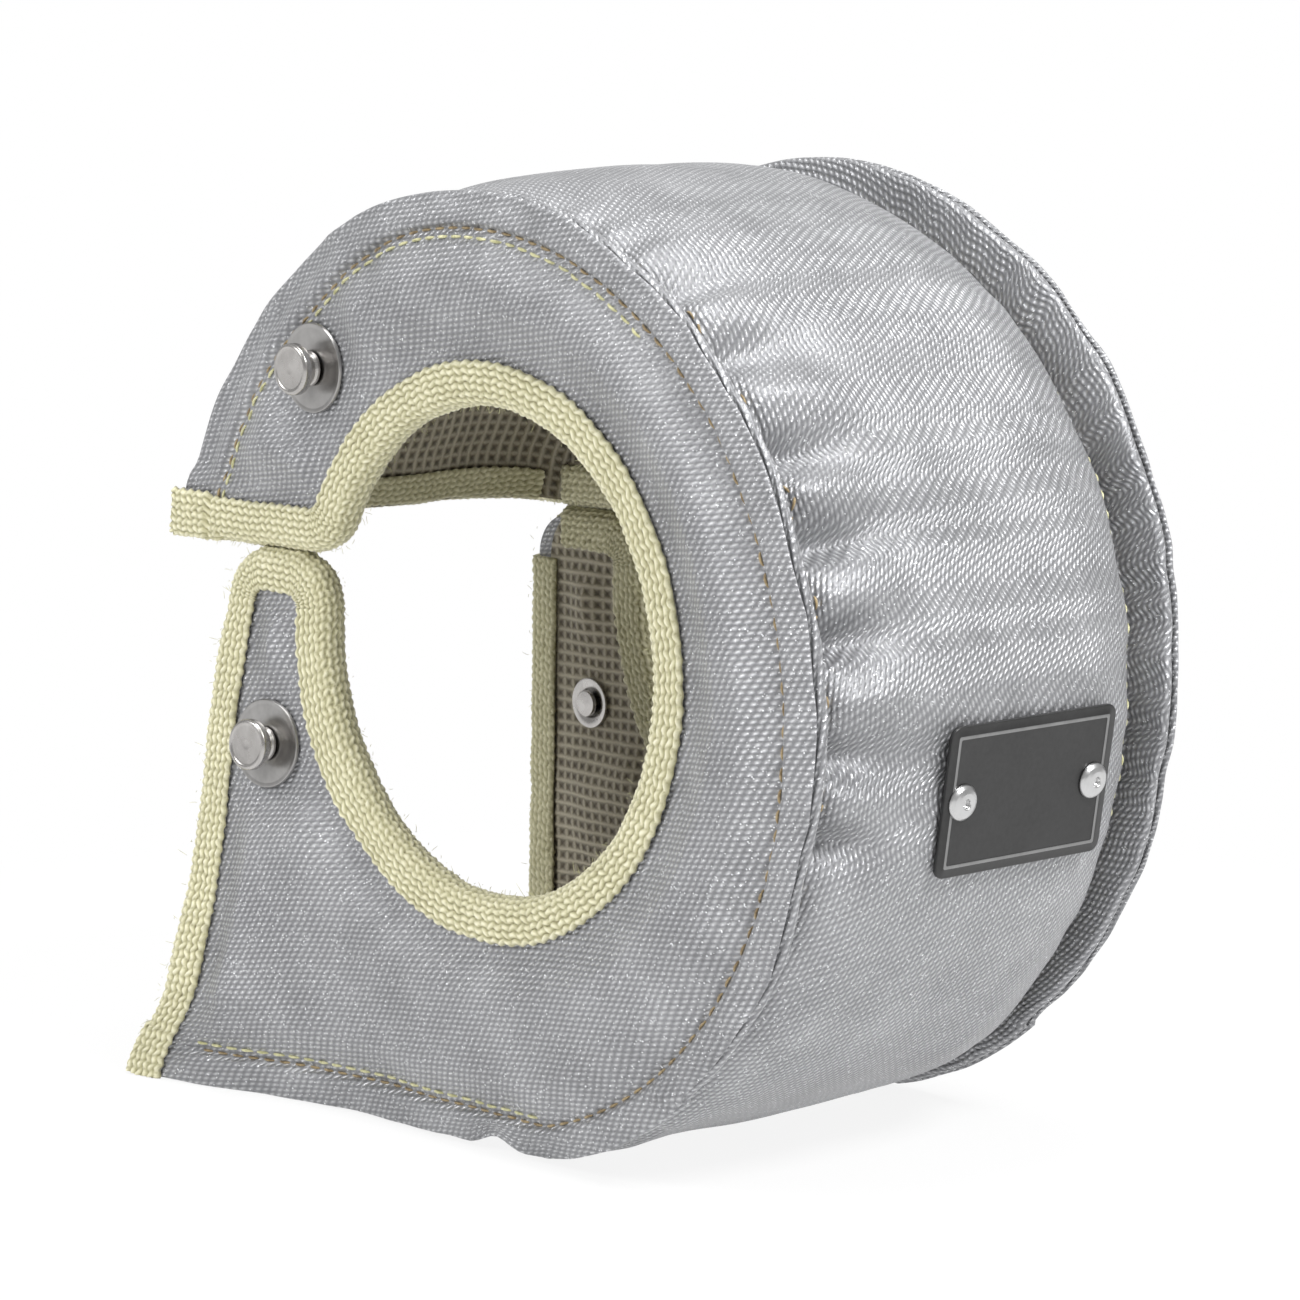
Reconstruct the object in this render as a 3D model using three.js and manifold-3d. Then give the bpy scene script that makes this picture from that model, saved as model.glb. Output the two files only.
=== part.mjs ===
// Turbo heat blanket: a padded drum that laces round a turbocharger's turbine housing.
// Two C-shaped end panels and a band between them, each a cloth cover, an insulation mat and a
// lining, are sewn together at raised flanges. Woven tape binds the holes, the slits and the mouth.
// The drum's axis is Y, the front panel faces -Y, the mouth opens to -X and +Z is up.
import * as THREE from 'three';
import { mergeVertices } from 'three/addons/utils/BufferGeometryUtils.js';
import Module from 'manifold-3d';

const wasm = await Module();
wasm.setup();

const DEGREE = Math.PI / 180;

// Drum, in millimetres
const FLANGE_RADIUS = 104;
const BASE_CUT = 3;
const DRUM_WIDTH = 109;
const CROWN_RISE = 3;
const CROWN_CLEARANCE = 0.5;
const CROWN_Y = 4;
const COVER_THICKNESS = 1.2;
const LINING_THICKNESS = 1;
const LAYER_GAP = 0.4;
const LIP_THICKNESS = 2.3;
const SEAM_GAP = 0.4;
const SEAM_DIP = 0.8;

// Where the end panels turn from the round to the flat base, in degrees
const SHOULDER_ANGLE = 150;
const BASE_BLEND = [-45, -70];

// End panels: the hole, the slit beside it and the free edge below the slit. Edges and anchors are
// given by how far they lie inside the flange, and anchors by their angle as well.
const SLIT_HEIGHT = 22.6;
const SLIT_GAP = 0.8;
const CORNER_RADIUS = 12;
const EDGE_PAD = 1.8;
const BAND_EDGE_PAD = 1.4;
const MAT_CROWN = 0.3;
const LAYER_CLEARANCE = 1.5;
const CORNER_STIFF = 38;
const MAT_INSET = 0.5;
const BAND_PAD = 7;
const MOUTH_SETBACK = 5;
const FRONT = endPanel({
  name: 'front', side: -1, holeX: 6, holeZ: 6.5, rim: 52, slitSetback: 25,
  flange: 7.5, bulge: 3.6, innerBulge: 2.6, columns: 1,
  anchors: { upper: [22.9, 128.5], lower: [35.7, 197.9] },
});
const REAR = endPanel({
  name: 'rear', side: 1, holeX: 0, holeZ: 5, rim: 48, slitSetback: 8,
  flange: 10.5, bulge: 3, innerBulge: 2.4, columns: 0.62,
  anchors: { upper: [23, 128.5], lower: [25.7, 197.9] },
});

// Binding tape, folded over an edge
const TAPE_WIDTH = 10;
const TAPE_THICKNESS = 1.2;
const TAPE_CLEARANCE = 0.4;
const TAPE_FOLD = 1.4;

// How the band rises from each seam to its crown: the share of the rise and the distance from the seam
const FRONT_RISE = [[0.42, 4.5], [0.74, 12], [0.95, 27]];
const REAR_RISE = [[0.86, 17], [0.46, 5.5]];
const ROOT_STEP = 0.3;

// Gathers in the band behind the front seam, and the set of the sewn corner
const GATHER_ANGLES = [-14, -3, 9, 21, 33, 46, 58];
const GATHER_DEPTHS = [2.6, 3.6, 3.2, 4, 3, 2.6, 1.8];
const GATHER_HALF_WIDTH = 5;
const GATHER_REACH = 30;
const CORNER_FLARE = 14;
const CORNER_SPREAD = 0.42;
const FLARE_ROOT = { x: 30, y: 10, z: 40 };
const LIP_WAVE = 0.6;
const LIP_WAVES = 9;
const LIP_ROOT = { y: 4, radius: 9 };
const LIP_FADE = 20;

// Lacing anchors
const WASHER_RADIUS = 10;
const WASHER_THICKNESS = 0.9;
const RETAINER_RADIUS = 6;
const SHANK_RADIUS = 2;
const SHANK_CLEARANCE = 0.4;
const COLLAR_RADIUS = 3.9;
const COLLAR_HEIGHT = 3.2;
const HEAD_RADIUS = 5.7;
const HEAD_HEIGHT = 2.6;
const SEAT_GAP = 0.3;

// Name plate, left bare
const PLATE_LENGTH = 49;
const PLATE_HEIGHT = 32;
const PLATE_THICKNESS = 0.9;
const PLATE_CORNER = 2.5;
const PLATE_ANGLE = -9;
const PLATE_Y = 5.6;
const RIVET_SPACING = 39;
const RIVET_SHANK_RADIUS = 1.9;
const RIVET_HEAD_RADIUS = 3.9;
const RIVET_HEAD_HEIGHT = 1.5;
const RIVET_TAIL_RADIUS = 2.9;
const PLATE_SINK = 1.4;

const HALF_WIDTH = DRUM_WIDTH / 2;
const AXIS_HEIGHT = FLANGE_RADIUS - BASE_CUT;
const LIP_TOP = SLIT_HEIGHT + SLIT_GAP / 2;
const LIP_LOW = SLIT_HEIGHT - SLIT_GAP / 2;
const LAYER_INSET = TAPE_FOLD + SEAM_GAP;
const BAND_END = HALF_WIDTH - LIP_THICKNESS - SEAM_GAP;
const LIP_BACK = BAND_END - LIP_THICKNESS;
const CROWN_RADIUS = FLANGE_RADIUS + CROWN_RISE;
const TAPE_STEP = TAPE_THICKNESS + TAPE_CLEARANCE;

function endPanel({ rim, slitSetback, anchors, ...panel }) {
  const place = ([inset, angle]) => [
    (FLANGE_RADIUS - inset) * Math.cos(angle * DEGREE), (FLANGE_RADIUS - inset) * Math.sin(angle * DEGREE),
  ];
  return {
    ...panel,
    holeRadius: FLANGE_RADIUS - rim,
    edgeTopX: slitSetback - FLANGE_RADIUS,
    edgeBottomX: MOUTH_SETBACK - FLANGE_RADIUS,
    anchors: { upper: place(anchors.upper), lower: place(anchors.lower) },
  };
}

const smooth = (t) => THREE.MathUtils.smoothstep(t, 0, 1);
const mix = THREE.MathUtils.lerp;

// Materials
const finishes = {
  cover: { color: 0x9a9b9e, roughness: 0.62, metalness: 0.1 },
  lining: { color: 0x5d564c, roughness: 0.95, metalness: 0 },
  insulation: { color: 0xd8d2c0, roughness: 1, metalness: 0 },
  tape: { color: 0xcfcf9e, roughness: 0.9, metalness: 0 },
  steel: { color: 0xa8a8a4, roughness: 0.32, metalness: 1 },
  plate: { color: 0x161617, roughness: 0.4, metalness: 0.3 },
  rivet: { color: 0xd4d6d8, roughness: 0.28, metalness: 1 },
};

function part(name, geometry, finish) {
  const mesh = new THREE.Mesh(geometry, new THREE.MeshStandardMaterial(finishes[finish]));
  mesh.name = name;
  return mesh;
}

// The way the sewn blanket settles: the front corner below the mouth flares forward and outward,
// and the flange lips run in a shallow wave.
function settle(p) {
  const forward = smooth((-p.y - FLARE_ROOT.y) / (LIP_BACK - FLARE_ROOT.y));
  const outward = smooth((-p.x - FLARE_ROOT.x) / (FLANGE_RADIUS - FLARE_ROOT.x));
  const downward = smooth((FLARE_ROOT.z - p.z) / (AXIS_HEIGHT + FLARE_ROOT.z));
  const flare = CORNER_FLARE * forward * outward * downward;
  const radius = Math.hypot(p.x, p.z);
  const inBand = smooth((Math.abs(p.y) - LIP_BACK + LIP_ROOT.y) / LIP_ROOT.y);
  const onLip = inBand * smooth((radius - FLANGE_RADIUS + LIP_ROOT.radius) / LIP_ROOT.radius);
  const clear = smooth((p.x + FLANGE_RADIUS - LIP_ROOT.radius) / LIP_FADE) * smooth((p.z + AXIS_HEIGHT) / LIP_FADE);
  const wave = LIP_WAVE * onLip * clear * Math.sin(LIP_WAVES * Math.atan2(p.z, p.x));
  return new THREE.Vector3(p.x - CORNER_SPREAD * flare, p.y - flare + wave, p.z);
}

// A closed sheet between two surfaces given on one grid, rows[i][j]
function sheet(outer, inner) {
  const columns = outer.length;
  const rows = outer[0].length;
  const vertices = [...outer.flat(), ...inner.flat()];
  const layer = columns * rows;
  const at = (i, j, k) => k * layer + i * rows + j;
  const index = [];
  const quad = (a, b, c, d) => index.push(a, b, c, a, c, d);
  for (let i = 0; i < columns - 1; i += 1) {
    for (let j = 0; j < rows - 1; j += 1) {
      quad(at(i, j, 0), at(i + 1, j, 0), at(i + 1, j + 1, 0), at(i, j + 1, 0));
      quad(at(i, j, 1), at(i, j + 1, 1), at(i + 1, j + 1, 1), at(i + 1, j, 1));
    }
    quad(at(i, 0, 0), at(i, 0, 1), at(i + 1, 0, 1), at(i + 1, 0, 0));
    quad(at(i, rows - 1, 0), at(i + 1, rows - 1, 0), at(i + 1, rows - 1, 1), at(i, rows - 1, 1));
  }
  for (let j = 0; j < rows - 1; j += 1) {
    quad(at(0, j, 0), at(0, j + 1, 0), at(0, j + 1, 1), at(0, j, 1));
    quad(at(columns - 1, j, 0), at(columns - 1, j, 1), at(columns - 1, j + 1, 1), at(columns - 1, j + 1, 0));
  }
  return solidFrom(vertices, index);
}

// A closed tape through a list of folded sections, each a loop of ten points
function foldedTape(sections) {
  const count = sections[0].length;
  const vertices = sections.flat();
  const index = [];
  for (let i = 0; i < sections.length - 1; i += 1) {
    for (let j = 0; j < count; j += 1) {
      const a = i * count + j;
      const b = i * count + ((j + 1) % count);
      index.push(a, b, b + count, a, b + count, a + count);
    }
  }
  const cap = (start, flip) => FOLD_FACES.forEach((face) => {
    const [a, b, c] = face.map((v) => v + start * count);
    index.push(...(flip ? [a, c, b] : [a, b, c]));
  });
  cap(0, true);
  cap(sections.length - 1, false);
  return solidFrom(vertices, index);
}

// The faces that close a folded tape's section: outer leaf, fold and inner leaf
const FOLD_FACES = [[0, 1, 8], [0, 8, 9], [1, 2, 8], [2, 3, 7], [2, 7, 8], [3, 4, 7], [4, 5, 6], [4, 6, 7]];

function solidFrom(vertices, index) {
  let volume = 0;
  for (let i = 0; i < index.length; i += 3) {
    const [a, b, c] = [vertices[index[i]], vertices[index[i + 1]], vertices[index[i + 2]]];
    volume += a.dot(b.clone().cross(c));
  }
  if (volume < 0) index.reverse();
  const geometry = new THREE.BufferGeometry();
  const positions = vertices.flatMap((v) => v.toArray());
  geometry.setAttribute('position', new THREE.Float32BufferAttribute(positions, 3));
  geometry.setIndex(index);
  return geometry;
}

// Cuts with the solid modeller
function toSolid(geometry) {
  const bare = geometry.clone();
  bare.deleteAttribute('normal');
  bare.deleteAttribute('uv');
  const merged = mergeVertices(bare, 1e-4);
  return new wasm.Manifold(new wasm.Mesh({
    numProp: 3,
    vertProperties: new Float32Array(merged.attributes.position.array),
    triVerts: new Uint32Array(merged.index.array),
  }));
}

function fromSolid(solid) {
  const { vertProperties, triVerts } = solid.getMesh();
  const geometry = new THREE.BufferGeometry();
  geometry.setAttribute('position', new THREE.Float32BufferAttribute(vertProperties, 3));
  geometry.setIndex(new THREE.Uint32BufferAttribute(triVerts, 1));
  return geometry;
}

function bored(geometry, bores) {
  return fromSolid(bores.reduce((solid, bore) => solid.subtract(toSolid(bore)), toSolid(geometry)));
}

function bore(matrix, radius, low, high) {
  const length = high - low;
  return new THREE.CylinderGeometry(radius, radius, length, 10)
    .translate(0, low + length / 2, 0).applyMatrix4(matrix);
}

// Stretches of a panel's edge, each giving a point at a share t of its run and at an inset
function arcEdge(x, z, radius, from, to, grow) {
  return (t, inset) => {
    const angle = mix(from, to, t);
    const r = radius + grow * inset;
    return new THREE.Vector2(x + r * Math.cos(angle), z + r * Math.sin(angle));
  };
}

function lineEdge(start, end, normal) {
  return (t, inset) => start.clone().lerp(end, t).addScaledVector(normal, inset);
}

// The free edge below the slit, from the flange's corner up to the lower lip
function freeEdge(panel) {
  const corner = new THREE.Vector2(panel.edgeBottomX, -AXIS_HEIGHT);
  const along = new THREE.Vector2(panel.edgeTopX, LIP_LOW).sub(corner).normalize();
  const normal = new THREE.Vector2(along.y, -along.x);
  const at = (z, inset) => corner.clone().addScaledVector(normal, inset)
    .addScaledVector(along, (z + AXIS_HEIGHT - normal.y * inset) / along.y);
  return { corner, along, normal, at };
}

// The rounded corners where the lips of the slit meet the hole and the free edge
function panelCorners(panel) {
  const reach = panel.holeRadius + CORNER_RADIUS;
  const across = (z) => panel.holeX - Math.sqrt(reach ** 2 - (z - panel.holeZ) ** 2);
  const upperZ = LIP_TOP + CORNER_RADIUS;
  const lowerZ = LIP_LOW - CORNER_RADIUS;
  return {
    upper: new THREE.Vector2(across(upperZ), upperZ),
    lower: new THREE.Vector2(across(lowerZ), lowerZ),
    outer: freeEdge(panel).at(lowerZ, CORNER_RADIUS),
  };
}

const bearing = (from, to) => Math.atan2(to.y - from.y, to.x - from.x);
const turnBelow = (angle) => (angle > Math.PI / 2 ? angle - 2 * Math.PI : angle);

// The bound edge in order: upper lip, hole, lower lip, free edge down to the flange's corner
function boundEdge(panel) {
  const { upper, lower, outer } = panelCorners(panel);
  const edge = freeEdge(panel);
  const hole = new THREE.Vector2(panel.holeX, panel.holeZ);
  const up = new THREE.Vector2(0, 1);
  const down = new THREE.Vector2(0, -1);
  const lipStart = new THREE.Vector2(-Math.sqrt(FLANGE_RADIUS ** 2 - LIP_TOP ** 2), LIP_TOP);
  const left = Math.atan2(-edge.normal.y, -edge.normal.x);
  return {
    upperLip: lineEdge(lipStart, new THREE.Vector2(upper.x, LIP_TOP), up),
    upperCorner: arcEdge(upper.x, upper.y, CORNER_RADIUS, -Math.PI / 2, bearing(upper, hole), -1),
    hole: arcEdge(hole.x, hole.y, panel.holeRadius, bearing(hole, upper), turnBelow(bearing(hole, lower)), 1),
    holeAt: (from, to) => arcEdge(hole.x, hole.y, panel.holeRadius, from, to, 1),
    holeStart: bearing(hole, upper),
    holeEnd: turnBelow(bearing(hole, lower)),
    lowerCorner: arcEdge(lower.x, lower.y, CORNER_RADIUS, bearing(lower, hole), Math.PI / 2, -1),
    lowerLip: lineEdge(new THREE.Vector2(lower.x, LIP_LOW), new THREE.Vector2(outer.x, LIP_LOW), down),
    outerCorner: arcEdge(outer.x, outer.y, CORNER_RADIUS, Math.PI / 2, left, -1),
    freeEdge: lineEdge(outer.clone().addScaledVector(edge.normal, -CORNER_RADIUS), edge.corner, edge.normal),
  };
}

// Where the round of the drum meets its flat base, at a radius
const baseAngle = (radius) => -Math.asin((radius - BASE_CUT) / radius);

// Columns of a panel: matched points on its inner edge and its outer edge
function panelColumns(panel, seamInset, edgeInset, density) {
  const edge = boundEdge(panel);
  const free = freeEdge(panel);
  const radius = FLANGE_RADIUS - seamInset;
  const floor = -(AXIS_HEIGHT - seamInset);
  const start = Math.PI - Math.asin((LIP_TOP + edgeInset) / radius);
  const shoulder = SHOULDER_ANGLE * DEGREE;
  const base = baseAngle(radius);
  const baseStart = new THREE.Vector2(radius * Math.cos(base), floor);
  const corner = free.at(floor, edgeInset);
  const rise = edge.freeEdge(0, edgeInset);
  const towardCorner = bearing(new THREE.Vector2(panel.holeX, panel.holeZ), corner);
  const leaf = (TAPE_WIDTH + 1) / baseStart.distanceTo(corner);
  const besideTape = (t, count) => (t === 1 ? 1 : t * (1 - leaf) * count / (count - 1));
  const stretches = [
    [4, 2, edge.upperCorner, (t) => polar(radius, mix(start, shoulder, t))],
    [34, 12, edge.holeAt(edge.holeStart, base), (t) => polar(radius, mix(shoulder, base, t))],
    [10, 7, edge.holeAt(base, towardCorner), (t, n) => baseStart.clone().lerp(corner, besideTape(t, n))],
    [10, 7, edge.holeAt(towardCorner, edge.holeEnd), (t) => corner.clone().lerp(rise, t)],
    [4, 2, edge.lowerCorner, (t) => edge.outerCorner(1 - t, edgeInset)],
  ];
  const columns = [];
  stretches.forEach(([steps, least, inner, outer], s) => {
    const count = Math.max(least, Math.round(steps * density));
    for (let k = s === 0 ? 0 : 1; k <= count; k += 1) {
      columns.push([inner(k / count, edgeInset), outer(k / count, count)]);
    }
  });
  return columns;
}

const polar = (radius, angle) => new THREE.Vector2(radius * Math.cos(angle), radius * Math.sin(angle));

// How far a point of a panel lies from its bound edge, and from the edge of its flange
function tapeDistance(panel, x, z) {
  const { upper, lower } = panelCorners(panel);
  const hole = Math.hypot(x - panel.holeX, z - panel.holeZ) - panel.holeRadius;
  if (z > SLIT_HEIGHT) return x < upper.x ? Math.min(hole, z - LIP_TOP) : hole;
  const free = freeEdge(panel);
  const side = new THREE.Vector2(x, z).sub(free.corner).dot(free.normal);
  const lip = x < lower.x ? LIP_LOW - z : hole;
  return Math.min(hole, side, lip);
}

function seamDistance(x, z) {
  const below = z + AXIS_HEIGHT;
  if (x < 0 && z < SLIT_HEIGHT) return below;
  return Math.min(below, FLANGE_RADIUS - Math.hypot(x, z));
}

// The padding's share of its full height, which falls away to the edges, the seam and the anchors
function loft(panel, x, z) {
  const fromTape = smooth((tapeDistance(panel, x, z) - TAPE_WIDTH - 2) / 12);
  const fromSeam = smooth((seamDistance(x, z) - panel.flange - 1) / 13);
  const fromAnchors = Object.values(panel.anchors)
    .map(([ax, az]) => smooth((Math.hypot(x - ax, z - az) - WASHER_RADIUS - 7) / 14));
  return fromTape * fromSeam * Math.min(...fromAnchors);
}

// Heights of a panel's layers above the drum's middle plane, at a point
function panelHeights(panel, x, z) {
  const lift = loft(panel, x, z);
  const lip = smooth((panel.flange + 1 - seamDistance(x, z)) / 2.5)
    * smooth((tapeDistance(panel, x, z) - TAPE_WIDTH - 6) / 5);
  const face = HALF_WIDTH - SEAM_DIP * (1 - lip) + panel.bulge * lift;
  const coverBack = face - mix(COVER_THICKNESS, LIP_THICKNESS, lip);
  const matFront = HALF_WIDTH - SEAM_DIP - COVER_THICKNESS - LAYER_GAP + MAT_CROWN * lift;
  const fromCorner = Math.hypot(x - panel.edgeBottomX, z + AXIS_HEIGHT) - CORNER_STIFF;
  const bulge = panel.innerBulge * lift * smooth(fromCorner / CORNER_STIFF);
  const matBack = HALF_WIDTH - SEAM_DIP - COVER_THICKNESS - LAYER_GAP - EDGE_PAD - bulge;
  const liningFront = matBack - LAYER_GAP;
  return { face, coverBack, matFront, matBack, liningFront, liningBack: liningFront - LINING_THICKNESS };
}

// Stations across a panel, from its inner edge to its outer edge, as shares of the way
function coverStations(panel, length) {
  const full = 2 * TAPE_WIDTH + panel.flange + 14;
  const scale = Math.min(1, length / full);
  const near = [0, TAPE_WIDTH - LAYER_INSET, TAPE_WIDTH + 5].map((d) => d * scale / length);
  const far = [panel.flange + 8, panel.flange + 1.5, panel.flange - 1.5, 0]
    .map((d) => 1 - d * scale / length);
  return [...near, (near[2] + far[0]) / 2, ...far];
}

function matStations(panel, length) {
  const leaf = Math.min(0.3, (TAPE_WIDTH + MAT_INSET - LAYER_INSET) / length);
  return [0, leaf, 0.5, 1 - 1.5 * leaf, 1];
}

function panelLayer(panel, insets, density, stations, front, back) {
  const grids = [front, back].map((level) => panelColumns(panel, ...insets, density)
    .map(([inner, outer]) => stations(panel, inner.distanceTo(outer)).map((share) => {
      const p = inner.clone().lerp(outer, share);
      return settle(new THREE.Vector3(p.x, panel.side * panelHeights(panel, p.x, p.y)[level], p.y));
    })));
  return sheet(grids[0], grids[1]);
}

// Root of the seam inside the flange, and the radii of the band's layers there
function seamRoot(panel) {
  const cover = FLANGE_RADIUS - panel.flange;
  const mat = cover - COVER_THICKNESS - LAYER_GAP;
  const lining = mat - BAND_EDGE_PAD - LAYER_GAP;
  return { cover, mat, lining, clear: lining - LINING_THICKNESS - LAYER_CLEARANCE };
}

// The band's outer profile from the front flange to the rear one: [radius, y] with lips at both ends
function bandProfile() {
  const front = seamRoot(FRONT).cover;
  const rear = seamRoot(REAR).cover;
  return [
    [front, -LIP_BACK],
    [front + ROOT_STEP, ROOT_STEP - LIP_BACK],
    ...FRONT_RISE.map(([share, behind]) => [mix(front, CROWN_RADIUS, share), behind - LIP_BACK]),
    [CROWN_RADIUS, CROWN_Y],
    ...REAR_RISE.map(([share, ahead]) => [mix(rear, CROWN_RADIUS, share), LIP_BACK - ahead]),
    [rear + ROOT_STEP, LIP_BACK - ROOT_STEP],
    [rear, LIP_BACK],
  ];
}

// A surface of the band below its profile. At the root of each flange it turns down into a corner
// of its own, so that no layer passes through the one outside it.
function bandOffset(profile, depthAt, end) {
  const last = profile.length - 1;
  return profile.map(([r, y], k) => {
    const fromEnd = Math.min(k, last - k);
    const root = (k < last / 2 ? profile[0] : profile[last])[0];
    const depth = depthAt(Math.max(0, k - 1) / (last - 2), fromEnd < 2);
    if (fromEnd === 0) return [root - depth, Math.sign(y) * end];
    if (fromEnd === 1) return [root - depth, Math.sign(y) * (LIP_BACK + ROOT_STEP / 3 - depth / 5)];
    return [r - depth, y];
  });
}

// The dip of the gathers at an angle and a distance behind the front seam
function gatherReach(y) {
  const behind = y + LIP_BACK;
  return smooth(behind / 7) * (1 - smooth((behind - 9) / (GATHER_REACH - 9)));
}

function gatherDip(angle, y) {
  const degrees = angle / DEGREE;
  const dips = GATHER_ANGLES.map((centre, k) => {
    const away = Math.abs(degrees - centre) / GATHER_HALF_WIDTH;
    return GATHER_DEPTHS[k] * (1 - smooth(away));
  });
  return gatherReach(y) * Math.max(...dips);
}

function gatherEnvelope(angle, y) {
  const degrees = angle / DEGREE;
  const low = Math.min(...GATHER_ANGLES) - 2 * GATHER_HALF_WIDTH;
  const high = Math.max(...GATHER_ANGLES) + 2 * GATHER_HALF_WIDTH;
  const inside = smooth((degrees - low) / 6) * smooth((high - degrees) / 6);
  return gatherReach(y) * Math.max(...GATHER_DEPTHS) * inside;
}

// The angle of the mouth's upper edge, which clears the slit inside the seam, at an inset
const mouthAngle = (inset) => Math.PI - Math.asin(LIP_TOP / seamRoot(REAR).mat) - inset / FLANGE_RADIUS;

// Columns of the band: angles round the drum, then shares of the flat base up to the mouth
function bandColumns(stride) {
  const start = mouthAngle(LAYER_INSET);
  const tapeEnd = start - TAPE_WIDTH / FLANGE_RADIUS;
  const turns = [
    [start, tapeEnd, 2], [tapeEnd, 70 * DEGREE, 10], [70 * DEGREE, -26 * DEGREE, 31], [-26 * DEGREE, null, 7],
  ];
  const columns = [{ angle: start }];
  turns.forEach(([from, to, steps]) => {
    for (let k = 1; k <= steps; k += 1) columns.push({ from, to, share: k / steps });
  });
  const taped = 1 - (TAPE_WIDTH + 1) / (-FRONT.edgeBottomX);
  [0.16, 0.32, 0.48, 0.63, 0.75, taped, 0.5 + taped / 2, 1].forEach((flat) => columns.push({ flat }));
  return columns.filter((column, k) => k % stride === 0 || column.flat !== undefined);
}

// A point of the band at a column, a radius and a y; the base is flattened to the floor
function bandPoint(column, radius, y, crown) {
  const base = baseAngle(radius);
  const angle = columnAngle(column, radius);
  const [blendStart, blendEnd] = BASE_BLEND;
  const towardBase = smooth((blendStart - angle / DEGREE) / (blendStart - blendEnd));
  const underTape = column.flat === undefined ? 0 : smooth((column.flat - 0.75) / 0.12) * TAPE_STEP;
  const excess = Math.max(0, crown - FLANGE_RADIUS + CROWN_CLEARANCE + underTape) * towardBase;
  const r = radius - excess;
  if (column.flat === undefined) {
    return new THREE.Vector3(r * Math.cos(angle), y, r * Math.sin(angle));
  }
  const startX = r * Math.cos(base);
  const endX = FRONT.edgeBottomX + LAYER_INSET;
  return new THREE.Vector3(mix(startX, endX, column.flat), y, BASE_CUT - r);
}

function columnAngle(column, radius) {
  if (column.flat !== undefined) return baseAngle(radius);
  if (column.angle !== undefined) return column.angle;
  return mix(column.from, column.to ?? baseAngle(radius), column.share);
}

function bandCover() {
  const profile = bandProfile();
  const outer = [[FLANGE_RADIUS, -LIP_BACK], ...profile, [FLANGE_RADIUS, LIP_BACK]];
  const back = bandOffset(profile, () => COVER_THICKNESS, BAND_END);
  const inner = [[FLANGE_RADIUS, -BAND_END], ...back, [FLANGE_RADIUS, BAND_END]];
  const grids = [outer, inner].map((rows) => bandColumns(1).map((column) => rows.map(([r, y], k) => {
    const crown = k === 0 || k === rows.length - 1 ? FLANGE_RADIUS : outer[k][0];
    const dip = column.flat === undefined ? gatherDip(columnAngle(column, r), y) : 0;
    return settle(bandPoint(column, r - dip, y, crown));
  })));
  return sheet(grids[0], grids[1]);
}

// An inner layer of the band, between two depths below the cover's outer profile
const BAND_DEPTHS = {
  mat: () => COVER_THICKNESS + LAYER_GAP,
  matBack: (pad) => COVER_THICKNESS + LAYER_GAP + pad,
  lining: (pad) => COVER_THICKNESS + 2 * LAYER_GAP + pad,
  liningBack: (pad) => COVER_THICKNESS + 2 * LAYER_GAP + pad + LINING_THICKNESS,
};

const bandPad = (share, atSeam) => mix(BAND_EDGE_PAD, BAND_PAD, atSeam ? 0 : Math.sin(Math.PI * share) ** 0.5);

function bandLayer(front, back) {
  const profile = bandProfile();
  const grids = [front, back].map((level) => {
    const depthAt = (share, atSeam) => BAND_DEPTHS[level](bandPad(share, atSeam));
    const rows = bandOffset(profile, depthAt, BAND_END - 2 * SEAM_GAP);
    return bandColumns(2).map((column) => rows.map(([r, y], k) => {
      const crown = profile[k][0];
      const angle = columnAngle(column, crown);
      const dip = column.flat === undefined && level === 'mat' ? gatherEnvelope(angle, y) : 0;
      return settle(bandPoint(column, r - dip, y, crown));
    }));
  });
  return sheet(grids[0], grids[1]);
}

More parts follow.
